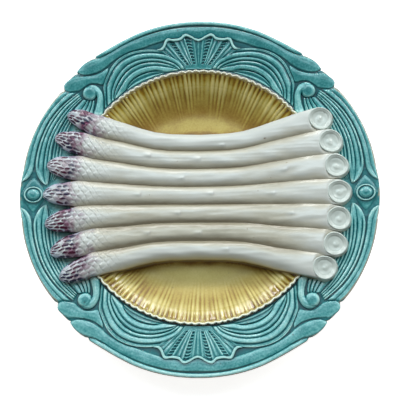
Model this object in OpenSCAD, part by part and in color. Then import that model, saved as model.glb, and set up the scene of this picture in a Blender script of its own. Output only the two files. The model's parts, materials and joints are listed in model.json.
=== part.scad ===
// Asparagus plate: a round moulded earthenware plate with two fluted sauce wells, seven
// asparagus spears lying side by side across the middle, and a border of scrolls, leaves,
// shells and volutes.
// Millimetres. The origin is the centre of the foot ring's bottom face and +Z is up. The
// spears lie along X with their tips towards -X and their cut ends towards +X.

/* [Plate] */
// Diameter over the rounds of the lobed edge
plate_d = 240; // [236:1:244]
// Width of the border, from the gutter round the wells to the rounds of the lobed edge
border_w = 32; // [31:0.5:33]
// Height that the rim climbs from its inner edge to the lobed edge
rim_rise = 4.5; // [3.5:0.5:5.5]
// Thickness of the clay in the floor, the wall and the rim
clay_t = 4.5; // [4:0.5:5.5]

/* [Sauce wells] */
// Width of the raised lip
lip_w = 2.3; // [1.9:0.1:2.7]
// Height of the lip above the land that it stands on
lip_h = 3; // [2.5:0.5:4]
// Width of the gutter between the lip and the border
gutter_w = 1.5; // [1.2:0.1:1.8]
// Depth of the wells below the land
well_depth = 14; // [13:0.5:15]
// Width of the curved wall between the flat floor and the lip, seen from above
wall_w = 28.2; // [27.2:0.5:30.2]
// Number of flutes that would go right round the wells
flute_count = 160; // [140:4:168]
// Width of the ridge between two flutes, at the lip
ridge_w = 1.6; // [1.2:0.1:2]
// Height of that ridge at the lip
ridge_h = 0.9; // [0.6:0.1:1.2]

/* [Foot] */
// Height of the foot ring
foot_h = 3; // [2:0.5:4]
// Width of the foot ring
foot_w = 5; // [4:0.5:6]
// Width of the chamfer along the foot ring's bottom edges
foot_chamfer = 0.8; // [0.5:0.1:1.2]

/* [Spears] */
// Distance from spear to spear across the middle of the plate
pitch_mid = 12.2; // [11.8:0.1:12.6]
// Distance from spear to spear where the cut ends lie on the border
pitch_end = 17; // [16.6:0.1:17.4]
// Distance that the tips part beyond that, from spear to spear
tip_flare = 0.9; // [0:0.1:1]
// Height of a spear's crown above the bed that it lies on
spear_rise = 7; // [6:0.5:8]
// Depth of the groove between two spears below their crowns
spear_groove = 3.8; // [3:0.2:5]
// Depth of the bed's dip at the middle of the plate
bed_dip = 11; // [10:0.5:12]
// Least thickness of the bed over the border
bed_cover = 0.5; // [0.4:0.1:1]
// Distance that the bed stays back from the sides of the spears
bed_inset = 0.6; // [0.4:0.1:1]
// Distance from the ends of the bed's dip to the border
dip_margin = 16; // [15:0.5:18]
// Width of a tip at its shoulder
tip_w = 15.4; // [14.4:0.2:16]
// Length of the pointed part of a tip
point_len = 21; // [18:0.5:22]
// Height of a tip above the bed at its very end
point_h = 2.6; // [2:0.2:3.2]
// Diameter of a cut end
cut_d = 15; // [14:0.2:15.6]
// Height of a cut end's centre above the bed
cut_h = 5.4; // [4.6:0.2:6]
// Depth of the hollow in a cut end
cut_hollow = 1; // [0.6:0.1:1.4]
// Clearance between a piece of a spear and its neighbour
spear_gap = 0.1; // [0.05:0.05:0.2]

/* [Border] */
// Distance that the mouldings stay back from the lobed edge
edge_inset = 0.5; // [0.3:0.1:0.8]
// Height of the lips along the edge
edge_lip_h = 1.3; // [1:0.1:1.6]
// Height of the leaves
leaf_h = 1.1; // [0.8:0.1:1.4]
// Height of the scrolls
scroll_h = 1.7; // [1.3:0.1:2]
// Height of the side flutes
side_flute_h = 1.5; // [1.2:0.1:1.8]
// Height of the volutes' balls
ball_h = 3; // [2.4:0.1:3.4]
// Diameter of the volutes' balls
ball_d = 9.4; // [9:0.1:9.6]
// Height of the volutes' stems
stem_h = 2; // [1.6:0.1:2.4]
// Height of the shells at their raised edge
shell_h = 2; // [1.6:0.1:2.4]
// Height of the cabochons
cabochon_h = 3; // [2.4:0.1:3.4]
// Length of a cabochon across the rim
cabochon_l = 11.8; // [11:0.1:12]
// Width of a cabochon along the rim
cabochon_w = 10.8; // [10:0.1:11.4]

/* [Hidden] */
SIDES = ["ul", "ur", "ll", "lr"];
ENDS = ["upper", "lower"];
SPEARS = [1:7];

$fn = 96;
overrun = 1;
white = [0.86, 0.88, 0.87];
violet = [0.5, 0.42, 0.5];
cut_green = [0.72, 0.8, 0.79];
yellow = [0.75, 0.67, 0.4];
cream = [0.93, 0.93, 0.86];
teal = [0.36, 0.64, 0.68];
deep_teal = [0.1, 0.38, 0.4];

plate_r = plate_d / 2;
rim_w = border_w;
rim_in_r = plate_r - rim_w;
lip_r = rim_in_r - gutter_w;
land_r = lip_r - lip_w;
floor_r = land_r - wall_w;
dip_reach = rim_in_r - dip_margin;
floor_z = foot_h + clay_t;
land_z = floor_z + well_depth;
wall_steps = 6;
wall_curve = 1.7;

// Radius of the wall's step k, from the floor at 0 to the land at wall_steps
function step_r(k) = floor_r + (land_r - floor_r) * k / wall_steps;

// Height of the wall's step k
function step_z(k) = floor_z + well_depth * pow(k / wall_steps, wall_curve);

// Height of the rim's face at radius r
function rim_z(r) = land_z + rim_rise * (r - rim_in_r) / rim_w;

// Point at radius r and angle a
function polar(r, a) = [r * cos(a), r * sin(a)];

// Point at share t of a smooth curve through a list of points
function curve_at(pts, t) = let (
    last = len(pts) - 1,
    i = min(floor(t * last), last - 1),
    u = t * last - i,
    p = pts[max(i - 1, 0)],
    q = pts[i],
    r = pts[i + 1],
    s = pts[min(i + 2, last)]
) q + ((r - p) * u + (2 * p - 5 * q + 4 * r - s) * u ^ 2 + (3 * q - p - 3 * r + s) * u ^ 3) / 2;

// How the spears part from the middle to the ends: place as a share of the plate's radius,
// and share of the way from the pitch at the middle to the pitch at the ends
spread_shares = [
    [0, 0], [0.167, 0.03], [0.25, 0.1], [0.333, 0.25], [0.417, 0.44], [0.5, 0.58],
    [0.55, 0.67], [0.633, 0.81], [0.7, 0.94], [0.733, 1], [0.767, 1.14], [0.858, 1.42]
];

// Share of the tips' own flare, at the place as a share of the plate's radius
flare_shares = [[-0.7, 1], [-0.64, 0.7], [-0.58, 0]];

// Distance from spear to spear at x
function pitch(x) = pitch_mid + (pitch_end - pitch_mid) * lookup(abs(x) / plate_r, spread_shares)
    + tip_flare * lookup(x / plate_r, flare_shares);

spear_count = 7;

// Half width of the whole bundle at x
function bundle_w(x) = pitch(x) * spear_count / 2;

// Angle at which the bundle's side crosses the rim's inner edge, settled in n rounds from a
function settle(a, n) = n == 0 ? a : settle(asin(bundle_w(rim_in_r * cos(a)) / rim_in_r), n - 1);

corner_drawn = 38.4;
corner_a = settle(corner_drawn, 8);

quarter = 90;

// The border is drawn in degrees from the X axis; this turns a drawn angle with the corner
// where the bundle crosses the rim's inner edge
function turned(a) = a < corner_drawn
    ? a * corner_a / corner_drawn
    : quarter - (quarter - a) * (quarter - corner_a) / (quarter - corner_drawn);

// Point on the rim for a drawn place: its angle, and its share of the rim's width
function on_rim(place) = polar(rim_in_r + place[1] * rim_w, turned(place[0]));

// One quarter of the lobed edge: angle, and share of the plate's radius
edge_shares = [
    [0, 0.996], [4, 0.994], [7.6, 0.991], [8.1, 0.985], [8.6, 0.991], [15, 0.993], [22, 0.992],
    [28, 0.989], [33, 0.985], [37.2, 0.979], [38.2, 0.969], [38.9, 0.984], [40.2, 0.991],
    [42.5, 0.991], [44.6, 0.988], [45.6, 0.98], [46.4, 0.989], [48.2, 0.998], [50.5, 0.998],
    [52.2, 0.993], [53, 0.985], [53.9, 0.994], [56, 0.992], [59.7, 0.99], [65, 0.992],
    [70, 0.997], [75, 0.999], [80, 1], [85, 1], [90, 1]
];
edge_quarter = [for (e = edge_shares) polar(e[1] * plate_r, turned(e[0]))];
edge_last = len(edge_quarter) - 1;

// Share of the rim's width at which the lobed edge lies at drawn angle a, less the inset
function edge_share(a) = (lookup(a, edge_shares) * plate_r - edge_inset - rim_in_r) / rim_w;

// Drawn angle folded into the first quarter
function folded(a) = a > 90 ? 180 - a : a;

// Solid lofted through rings of points, each ring as long as the next
module loft(rings) {
    size = len(rings[0]);
    last = (len(rings) - 1) * size;
    sides = [
        for (i = [0:len(rings) - 2], j = [0:size - 1])
            let (a = i * size + j, b = i * size + (j + 1) % size)
                each [[a, b, b + size], [a, b + size, a + size]]
    ];
    first_cap = [for (j = [size - 1:-1:0]) j];
    last_cap = [for (j = [0:size - 1]) last + j];
    polyhedron([for (ring = rings) each ring], concat(sides, [first_cap], [last_cap]), convexity = 8);
}

// Ring of a moulding that lies on the rim between the plan points a and b. The profile
// gives the height shares at shares of the way across.
function strip_ring(a, b, lift, profile) = concat(
    [[a.x, a.y, rim_z(norm(a))]],
    [for (q = profile) let (p = a + (b - a) * q[0]) [p.x, p.y, rim_z(norm(p)) + lift * q[1]]],
    [[b.x, b.y, rim_z(norm(b))]]
);

// Share of the full height along a strip that fades over the share fade at both its ends
function fading(t, fade, least) = least + (1 - least) * min(1, min(t, 1 - t) / fade);

// Moulding between two drawn curves on the rim, both running the same way round
module strip(inner, outer, steps, lift, profile, fade = 0.15, least = 0.35) {
    a_side = [for (p = inner) on_rim(p)];
    b_side = [for (p = outer) on_rim(p)];
    rings = [
        for (i = [0:steps])
            let (t = i / steps)
                strip_ring(curve_at(a_side, t), curve_at(b_side, t), lift * fading(t, fade, least), profile)
    ];
    backwards = cross(b_side[0] - a_side[0], a_side[1] - a_side[0]) > 0;
    loft(backwards ? [for (i = [steps:-1:0]) rings[i]] : rings);
}

// Height profiles across a strip: share of its width, share of its height
round_profile = [[0, 0.35], [0.12, 0.8], [0.35, 1], [0.65, 1], [0.88, 0.8], [1, 0.35]];
edge_profile = [[0, 0.4], [0.2, 0.95], [0.5, 1], [0.8, 0.85], [1, 0.4]];
leaf_profile = [[0, 0.5], [0.15, 0.9], [0.5, 1], [0.85, 0.8], [1, 0.35]];

// Ridged profile with the given number of ridges
function ridged(ridges) = [
    for (k = [0:2 * ridges]) [k / (2 * ridges), k % 2 == 0 ? 0.35 : 1]
];

// Rounded boss: outline rx by ry about the plan point c, standing on the rim or on a level
module boss(c, rx, ry, lift, top, profile, sectors, level = undef, slope = 0) {
    rows = len(profile);
    function base(p) = is_undef(level) ? rim_z(norm(p)) : level;
    function at(q, k) = c + q * [rx * cos(360 * k / sectors), ry * sin(360 * k / sectors)];
    tops = [
        for (q = profile, k = [0:sectors - 1])
            let (p = at(q[0], k)) [p.x, p.y, base(p) + lift * q[1] - slope * (p.x - c.x)]
    ];
    feet = [for (k = [0:sectors - 1]) let (p = at(1, k)) [p.x, p.y, base(p)]];
    apex = [c.x, c.y, base(c) + lift * top];
    root = [c.x, c.y, base(c)];
    foot = rows * sectors;
    apex_at = foot + sectors;
    walls = [
        for (i = [0:rows - 1], k = [0:sectors - 1])
            let (a = i * sectors + k, b = i * sectors + (k + 1) % sectors)
                each [[a, b, b + sectors], [a, b + sectors, a + sectors]]
    ];
    crown = [for (k = [0:sectors - 1]) [apex_at, (k + 1) % sectors, k]];
    under = [for (k = [0:sectors - 1]) [apex_at + 1, foot + k, foot + (k + 1) % sectors]];
    polyhedron(concat(tops, feet, [apex, root]), concat(walls, crown, under), convexity = 4);
}

// Place of the tips' ends on the border, and the height of the bed's top there
end_reach_share = 0.525;
end_reach = rim_in_r + end_reach_share * rim_w;
bed_z = rim_z(end_reach) + bed_cover;
stations = 12;

// Place along X of the bed's crease k
function station(k) = dip_reach * (2 * k / stations - 1);

bed_creases = [for (k = [0:stations]) [station(k), bed_z - bed_dip * (1 - (station(k) / dip_reach) ^ 2)]];

// Height of the bed's top at x
function bed_top(x) = lookup(x, bed_creases);

// Centre line of spear k at x, counted from 0 at the middle spear
function spear_y(k, x) = k * pitch(x);

// Distance along X at which spear k comes to the radius reach on the side of sign, settled
// in n rounds
function reach_x(k, reach, x, n, sign) = n == 0
    ? x
    : reach_x(k, reach, sqrt(reach ^ 2 - spear_y(k, sign * x) ^ 2), n - 1, sign);

cut_share = 0.16;
cut_share_step = 0.035;
cut_r = cut_d / 2;
function cut_x(k) = reach_x(k, rim_in_r + (cut_share + abs(k) * cut_share_step) * rim_w, dip_reach, 8, 1);
function cut_centre(k) = [cut_x(k), spear_y(k, cut_x(k))];
function tip_x(k) = reach_x(k, end_reach, dip_reach, 8, -1);

// Crease at which the tip of spear k begins
function tip_root(k) = station(abs(k) > 2 ? 1 : 0);

tip_fullness = 2.6;
tip_bluntness = 1.9;

// Half width of spear k's tip at x, where x runs from its root towards its end
function tip_half_w(k, x) = let (u = max(0, (abs(x) - tip_x(k) + point_len) / point_len))
    min(pitch(x) / 2 - spear_gap, tip_w / 2 * (1 - u ^ tip_fullness) ^ (1 / tip_bluntness));

columns = 8;

// Share of a spear's width at column j: the columns are closer at the sides
function column_share(j) = (1 - cos(180 * j / columns)) / 2;

// Share of the crown's height above the groove at share v of the width
function crown(v) = (1 - abs(2 * v - 1) ^ 2.3) ^ 0.6;

// Closed solid over rows of plan points, from the bed up to crowns of the given rises
module spear_piece(rows, rises) {
    valley_share = (spear_rise - spear_groove) / spear_rise;
    rings = [
        for (i = [0:len(rows) - 1])
            let (row = rows[i], low = rises[i] * valley_share)
                concat(
                    [for (j = [0:columns]) [row[j].x, row[j].y, bed_top(row[j].x)]],
                    [for (j = [columns:-1:0]) [row[j].x, row[j].y,
                        bed_top(row[j].x) + low + (rises[i] - low) * crown(column_share(j))]]
                )
    ];
    size = 2 * (columns + 1);
    last = (len(rows) - 1) * size;
    sides = [
        for (i = [0:len(rows) - 2], j = [0:size - 1])
            let (a = i * size + j, b = i * size + (j + 1) % size)
                each [[a, b + size, b], [a, a + size, b + size]]
    ];
    first_cap = [for (j = [0:columns - 1]) [j, j + 1, size - 2 - j, size - 1 - j]];
    last_cap = [for (j = [0:columns - 1]) let (a = last + j, b = last + size - 1 - j) [a, b, b - 1, a + 1]];
    polyhedron([for (ring = rings) each ring], concat(sides, first_cap, last_cap), convexity = 6);
}

// Row of plan points straight across spear k at x, as wide as half_w to each side
function straight_row(k, x, half_w) = [
    for (j = [0:columns]) [x, spear_y(k, x) + half_w * (2 * column_share(j) - 1)]
];

// Row of plan points that follows the back of spear k's cut end
function hollow_row(k) = let (c = cut_centre(k), r = cut_r + spear_gap) [
    for (j = [0:columns])
        let (y = r * (2 * column_share(j) - 1)) [c.x - sqrt(max(0, r ^ 2 - y ^ 2)), c.y + y]
];

module foot_ring() {
    color(cream)
        rotate_extrude()
            polygon([
                [floor_r - foot_w + foot_chamfer, 0],
                [floor_r - foot_chamfer, 0],
                [floor_r, foot_chamfer],
                [floor_r, foot_h],
                [floor_r - foot_w, foot_h],
                [floor_r - foot_w, foot_chamfer]
            ]);
}

wall_points = [for (k = [0:wall_steps]) [step_r(k), step_z(k)]];

module well_bowl() {
    face = concat([[0, floor_z]], wall_points, [[rim_in_r, land_z]]);
    color(yellow)
        rotate_extrude()
            polygon(concat(face, [for (k = [len(face) - 1:-1:0]) face[k] - [0, clay_t]]));
}

// Everything under the plate's upper face, out to the radius reach
module under_face(reach) {
    rotate_extrude()
        polygon(concat(
            [[0, -overrun]],
            [[0, floor_z]],
            wall_points,
            [[rim_in_r, land_z], [reach, rim_z(reach)], [reach, -overrun]]
        ));
}

module lobed_edge() {
    polygon(concat(
        edge_quarter,
        [for (i = [edge_last - 1:-1:0]) [-edge_quarter[i].x, edge_quarter[i].y]],
        [for (i = [1:edge_last]) -edge_quarter[i]],
        [for (i = [edge_last - 1:-1:1]) [edge_quarter[i].x, -edge_quarter[i].y]]
    ));
}

module rim() {
    reach = plate_r + overrun;
    color(deep_teal)
        intersection() {
            rotate_extrude()
                polygon([
                    [rim_in_r, land_z - clay_t],
                    [reach, rim_z(reach) - clay_t],
                    [reach, rim_z(reach)],
                    [rim_in_r, land_z]
                ]);
            linear_extrude(rim_z(reach) + overrun)
                lobed_edge();
        }
}

// Plan of the bundle from crease to crease, moved outwards by grow at its long sides
module bundle_plan(grow, reach) {
    xs = [for (k = [0:stations]) station(k)];
    upper = [for (x = xs) [x, bundle_w(x) + grow]];
    ends = [[reach, bundle_w(reach) + grow], [reach, -bundle_w(reach) - grow]];
    lower = [for (k = [stations:-1:0]) [xs[k], -bundle_w(xs[k]) - grow]];
    polygon(concat(upper, ends, lower, -ends));
}

pad_rows = 8;
last_spear = (spear_count - 1) / 2;

// Outline of the pad under spear k's tip, from its -Y side round its end to its +Y side
function tip_pad(k) = let (
    reach = tip_x(k) - bed_inset,
    xs = [for (i = [0:pad_rows]) -dip_reach - (reach - dip_reach) * i / pad_rows],
    half = [for (x = xs) max(bed_inset, tip_half_w(k, x) - bed_inset)]
) concat(
    [for (i = [0:pad_rows]) [xs[i], spear_y(k, xs[i]) - half[i]]],
    [for (i = [pad_rows:-1:0]) [xs[i], spear_y(k, xs[i]) + half[i]]]
);

// Outline of the pad under spear k's stalk and cut end, from its +Y side round to its -Y side
function cut_pad(k) = let (
    c = cut_centre(k),
    half_w = min(cut_r, pitch(dip_reach) / 2) - bed_inset
) concat(
    [[dip_reach, spear_y(k, dip_reach) + half_w]],
    [for (i = [0:pad_rows]) c + half_w * [sin(180 * i / pad_rows), cos(180 * i / pad_rows)]],
    [[dip_reach, spear_y(k, dip_reach) - half_w]]
);

// Outline of the whole bed: its long sides, and the pads at its ends
bed_outline = concat(
    [for (k = [0:stations]) [station(k), bundle_w(station(k)) - bed_inset]],
    [for (k = [last_spear:-1:-last_spear]) each cut_pad(k)],
    [for (k = [stations:-1:0]) [station(k), bed_inset - bundle_w(station(k))]],
    [for (k = [-last_spear:last_spear]) each tip_pad(k)]
);

module spear_bed() {
    color(white)
        difference() {
            intersection() {
                linear_extrude(bed_z + overrun)
                    polygon(bed_outline);
                rotate([90, 0, 0])
                    linear_extrude(plate_d, center = true)
                        polygon(concat(
                            [[-plate_r, 0]],
                            [[-plate_r, bed_z]],
                            bed_creases,
                            [[plate_r, bed_z], [plate_r, 0]]
                        ));
            }
            under_face(plate_r);
        }
}

module stalk(k) {
    from = tip_root(k);
    to = cut_x(k) - cut_r - overrun;
    xs = [for (i = [0:stations]) if (station(i) >= from && station(i) <= to) station(i)];
    rows = concat([for (x = xs) straight_row(k, x, pitch(x) / 2 - spear_gap)], [hollow_row(k)]);
    color(white)
        spear_piece(rows, [for (row = rows) spear_rise]);
}

// Places of a tip's rows, as shares of the way from the bed's last crease to its end
tip_row_shares = [0.2, 0.4, 0.58, 0.73, 0.85, 0.94, 0.995];

module tip(k) {
    roots = [for (i = [0:stations]) if (station(i) <= tip_root(k)) station(i)];
    starts = [for (x = roots) x == tip_root(k) ? x - spear_gap : x];
    last = len(tip_row_shares) - 1;
    ends = [for (i = [last:-1:0]) -dip_reach - (tip_x(k) - dip_reach) * tip_row_shares[i]];
    xs = concat(ends, starts);
    rows = [for (x = xs) straight_row(k, x, tip_half_w(k, x))];
    rises = [for (x = xs) let (u = max(0, (-x - tip_x(k) + point_len) / point_len))
        point_h + (spear_rise - point_h) * (1 - u ^ 2) ^ 0.5];
    color(violet)
        spear_piece(rows, rises);
}

// Hollow with a raised edge: share of the radius, share of the height
function cut_profile() = let (edge = cut_hollow / cut_h) [
    [0.3, 1 - edge], [0.7, 1 - edge * 0.8], [0.84, 1 - edge * 0.2], [0.93, 1], [1, 1 - edge * 0.4]
];

cut_slope = 0.2;

module cut_end(k) {
    color(cut_green)
        boss(
            cut_centre(k), cut_r, cut_r, cut_h, 1 - cut_hollow / cut_h,
            cut_profile(), 20, bed_z, cut_slope
        );
}

// Ridges between the flutes of the well on the +Y side, each a separate strip up the wall
module well_flutes() {
    turn = 360 / flute_count;
    ridge_a = 2 * asin(ridge_w / 2 / land_r);
    side = ceil((90 - corner_a) / turn) + 1;
    face = [for (k = [1:wall_steps]) wall_points[k]];
    crest = [for (k = [wall_steps:-1:1]) wall_points[k] + [0, ridge_h * k / wall_steps]];
    color(yellow)
        difference() {
            for (i = [-side:side])
                rotate([0, 0, 90 + (i - 0.5) * turn - ridge_a / 2])
                    rotate_extrude(angle = ridge_a)
                        polygon(concat(face, crest));
            linear_extrude(land_z + lip_h)
                bundle_plan(spear_gap, plate_r);
        }
}

// Angle by which the lip runs on past the corner, under the bundle that cuts it off
lip_lead = 10;

// Raised lip round the well on the +Y side
module well_lip() {
    lead = quarter - corner_a + lip_lead;
    color(cream)
        difference() {
            rotate([0, 0, quarter - lead])
                rotate_extrude(angle = 2 * lead)
                    polygon([
                        [land_r, land_z],
                        [lip_r, land_z],
                        [lip_r, land_z + lip_h * 0.6],
                        [lip_r - lip_w * 0.25, land_z + lip_h],
                        [lip_r - lip_w * 0.6, land_z + lip_h],
                        [land_r, land_z + lip_h * 0.5]
                    ]);
            linear_extrude(land_z + 2 * lip_h)
                bundle_plan(spear_gap, plate_r);
        }
}

// Lip along the lobed edge from notch to notch across the +Y side
edge_lip_shares = [
    [53.6, 0.93], [55, 0.9], [59, 0.875], [64, 0.885], [70, 0.905], [75, 0.915], [80, 0.925], [90, 0.925]
];

module edge_lip() {
    steps = 24;
    from = edge_lip_shares[0][0];
    angles = [for (i = [0:steps]) from + (180 - 2 * from) * i / steps];
    function place(a, share) = let (p = on_rim([folded(a), share])) [a > 90 ? -p.x : p.x, p.y];
    rings = [
        for (i = [steps:-1:0])
            let (
                a = angles[i],
                inner = place(a, lookup(folded(a), edge_lip_shares)),
                outer = place(a, edge_share(folded(a)))
            )
                strip_ring(inner, outer, edge_lip_h * fading(i / steps, 0.04, 0.4), edge_profile)
    ];
    color(teal)
        loft(rings);
}

// Lip along the lobed edge beside the cut ends or the tips, in the first quarter
side_lip_shares = [
    [37.6, 0.84], [34.8, 0.8], [31, 0.815], [27, 0.83], [22, 0.832], [17, 0.83], [12.8, 0.81],
    [10, 0.83], [8.9, 0.9]
];

module side_lip() {
    outer = [for (p = side_lip_shares) [p[0], edge_share(p[0])]];
    color(teal)
        strip(side_lip_shares, outer, 12, edge_lip_h, edge_profile);
}

// Long leaf that runs from behind the shell to the first lobe, in the first quarter
long_leaf_in_shares = [
    [89.8, 0.78], [85.7, 0.8], [81, 0.77], [77.6, 0.745], [74.6, 0.665], [69, 0.68],
    [63, 0.722], [58, 0.71], [55, 0.672], [51.5, 0.69], [48.6, 0.77], [46.9, 0.86]
];
long_leaf_out_shares = [
    [89.8, 0.9], [86, 0.9], [82, 0.9], [78.5, 0.898], [74.6, 0.89], [69, 0.878],
    [63, 0.858], [59, 0.852], [55.3, 0.87], [52.4, 0.93], [49.6, 0.97], [47.1, 0.94]
];

module long_leaf() {
    color(teal)
        strip(long_leaf_in_shares, long_leaf_out_shares, 20, leaf_h, leaf_profile, 0.06, 0.6);
}

// Short leaf between the long leaf and the volute
short_leaf_in_shares = [
    [50.6, 0.525], [47.5, 0.585], [45.2, 0.665], [42.8, 0.67], [40.6, 0.745], [39.5, 0.85]
];
short_leaf_out_shares = [
    [52.6, 0.61], [49.8, 0.652], [47.6, 0.725], [45.4, 0.84], [42.6, 0.93], [39.9, 0.94]
];

module short_leaf() {
    color(teal)
        strip(short_leaf_in_shares, short_leaf_out_shares, 10, leaf_h, leaf_profile, 0.12, 0.5);
}

// Scroll beside the shell: three nested mouldings, from the well's gutter outwards
crescent_in_shares = [[74.6, 0.012], [70, 0.012], [65.5, 0.012], [61.5, 0.012], [58.2, 0.012]];
crescent_out_shares = [[75, 0.035], [70.4, 0.07], [65.5, 0.105], [61.5, 0.082], [57.6, 0.035]];
middle_in_shares = [
    [78.6, 0.012], [75.2, 0.055], [70.4, 0.098], [65.5, 0.132], [61, 0.108], [57, 0.035],
    [52.6, 0.012], [48.2, 0.012]
];
middle_out_shares = [
    [79.9, 0.03], [76, 0.18], [71, 0.303], [66.4, 0.358], [61.6, 0.347], [57, 0.278],
    [52.6, 0.168], [48.6, 0.035]
];
outer_in_shares = [
    [81.6, 0.02], [78.4, 0.145], [74.4, 0.27], [70.6, 0.345], [66, 0.397], [61.4, 0.385], [57, 0.318],
    [52.4, 0.2], [49, 0.075], [45.4, 0.015]
];
outer_out_shares = [
    [84.3, 0.03], [80.6, 0.2], [76.4, 0.41], [72.6, 0.54], [67.6, 0.632], [62.4, 0.67], [57.6, 0.65],
    [53, 0.555], [49.2, 0.39], [44.6, 0.06]
];

module scroll() {
    color(teal) {
        strip(crescent_in_shares, crescent_out_shares, 8, scroll_h / 2, round_profile, 0.3, 0.4);
        strip(middle_in_shares, middle_out_shares, 14, scroll_h, ridged(3));
        strip(outer_in_shares, outer_out_shares, 18, scroll_h, ridged(4));
    }
}

// Volute: a stem that starts where the bundle leaves the well and curls round a ball
stem_out_shares = [[41.4, 0.02], [43.8, 0.05], [45.8, 0.15], [47.3, 0.3], [47.6, 0.43], [47.1, 0.53]];
stem_in_shares = [[39.1, 0.1], [40.7, 0.145], [42.7, 0.215], [44.5, 0.29], [46.1, 0.37], [46.8, 0.5]];
ball_place = [43.1, 0.45];
ball_profile = [[0.3, 0.97], [0.6, 0.85], [0.82, 0.6], [1, 0.2]];

module volute() {
    color(teal) {
        strip(stem_out_shares, stem_in_shares, 10, stem_h, round_profile, 0.2, 0.4);
        boss(on_rim(ball_place), ball_d / 2, ball_d / 2, ball_h, 1, ball_profile, 18);
    }
}

// Flutes along the side of the border, which end in a pointed leaf beside the cabochon
side_flute_in_shares = [
    [39.6, 0.52], [35, 0.56], [29, 0.59], [22.5, 0.6], [16.5, 0.585], [11, 0.56], [7.6, 0.52], [4.4, 0.475]
];
side_flute_out_shares = [
    [40, 0.665], [34.8, 0.745], [28, 0.795], [20.6, 0.795], [14, 0.775], [9.6, 0.725], [6.6, 0.62], [4.2, 0.5]
];

module side_flutes() {
    color(teal)
        strip(side_flute_in_shares, side_flute_out_shares, 16, side_flute_h, ridged(5), 0.12, 0.45);
}

// Shell at the middle of the border: rays from its base to a wavy raised edge
shell_edge_shares = [
    [90, 0.64], [87.9, 0.7], [85.7, 0.762], [84.2, 0.74], [82.7, 0.695], [80.6, 0.7],
    [78.8, 0.715], [77.5, 0.65], [76.6, 0.57]
];
shell_base_a = 4;
shell_base_share = 0.02;
shell_profile = [[0, 0.45], [0.35, 0.55], [0.8, 0.5], [0.9, 1], [1, 0.6]];

module shell() {
    half = len(shell_edge_shares) - 1;
    rays = 2 * half;
    base_r = rim_in_r + shell_base_share * rim_w;
    function edge(i) = let (p = on_rim(shell_edge_shares[abs(i - half)])) [i < half ? p.x : -p.x, p.y];
    function base(i) = polar(base_r, 90 + shell_base_a * (i / half - 1));
    rings = [
        for (s = [2 * rays:-1:0])
            let (
                i = floor(s / 2),
                mid = s % 2 == 1,
                a = mid ? (base(i) + base(i + 1)) / 2 : base(i),
                b = mid ? (edge(i) + edge(i + 1)) / 2 : edge(i)
            )
                strip_ring(a, b, shell_h * (mid ? 0.75 : 1), shell_profile)
    ];
    color(teal)
        loft(rings);
}

cabochon_place = [0, 0.715];
cabochon_profile = [
    [0.25, 0.96], [0.48, 0.75], [0.6, 0.35], [0.66, 0.25], [0.78, 0.55], [0.88, 0.5], [1, 0.2]
];

module cabochon() {
    color(teal)
        boss(on_rim(cabochon_place), cabochon_l / 2, cabochon_w / 2, cabochon_h, 1, cabochon_profile, 24);
}

// Puts a piece drawn in the first quarter, or on the +Y side, into its own quarter
module placed(side) {
    left = side == "ul" || side == "ll" || side == "left";
    low = side == "ll" || side == "lr" || side == "lower";
    mirror([left ? 1 : 0, 0, 0])
        mirror([0, low ? 1 : 0, 0])
            children();
}

foot_ring();
well_bowl();
rim();
spear_bed();
for (e = ENDS) {
    placed(e) well_flutes();
    placed(e) well_lip();
    placed(e) edge_lip();
    placed(e) shell();
}
placed("left") cabochon();  // cabochon_left
cabochon();  // cabochon_right
for (s = SIDES) {
    placed(s) side_lip();
    placed(s) long_leaf();
    placed(s) short_leaf();
    placed(s) scroll();
    placed(s) volute();
    placed(s) side_flutes();
}
for (k = SPEARS) {
    stalk(k - last_spear - 1);
    tip(k - last_spear - 1);
    cut_end(k - last_spear - 1);
}
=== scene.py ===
"""Asparagus plate: the glazed looks round the fixed construction model.

Lengths in the classes are millimetres in the plate's own frame, as on a drawing: +X runs along
the spears towards their cut ends, +Z is up, and the foot ring stands on z = 0.
"""
import json
import logging
import math
from dataclasses import dataclass, field
from enum import Enum
from typing import Callable, Sequence

import bmesh
import bpy
import numpy as np
from mathutils import Matrix, Vector
from mathutils.bvhtree import BVHTree

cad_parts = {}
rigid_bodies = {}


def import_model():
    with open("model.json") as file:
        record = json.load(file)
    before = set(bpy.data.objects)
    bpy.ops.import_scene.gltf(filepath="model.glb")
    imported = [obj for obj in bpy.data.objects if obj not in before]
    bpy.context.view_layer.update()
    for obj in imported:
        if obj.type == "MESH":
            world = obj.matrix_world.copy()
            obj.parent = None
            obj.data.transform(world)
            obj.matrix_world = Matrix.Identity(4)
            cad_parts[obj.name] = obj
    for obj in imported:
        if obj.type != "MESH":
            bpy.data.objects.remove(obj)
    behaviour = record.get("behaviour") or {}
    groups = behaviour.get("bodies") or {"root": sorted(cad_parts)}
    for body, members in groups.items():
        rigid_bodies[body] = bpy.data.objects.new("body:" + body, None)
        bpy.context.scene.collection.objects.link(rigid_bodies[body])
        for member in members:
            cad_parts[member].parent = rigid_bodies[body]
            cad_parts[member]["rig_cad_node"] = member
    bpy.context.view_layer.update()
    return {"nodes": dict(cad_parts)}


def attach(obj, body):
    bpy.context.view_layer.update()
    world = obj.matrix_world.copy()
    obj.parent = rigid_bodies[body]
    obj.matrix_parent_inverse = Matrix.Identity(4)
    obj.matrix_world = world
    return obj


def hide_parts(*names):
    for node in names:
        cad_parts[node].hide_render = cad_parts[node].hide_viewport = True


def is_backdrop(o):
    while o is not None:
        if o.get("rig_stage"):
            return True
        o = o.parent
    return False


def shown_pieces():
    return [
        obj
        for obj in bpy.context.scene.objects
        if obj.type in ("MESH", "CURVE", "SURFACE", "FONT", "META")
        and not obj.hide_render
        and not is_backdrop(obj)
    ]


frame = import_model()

MM = 0.001
TURN = 2 * math.pi
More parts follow.
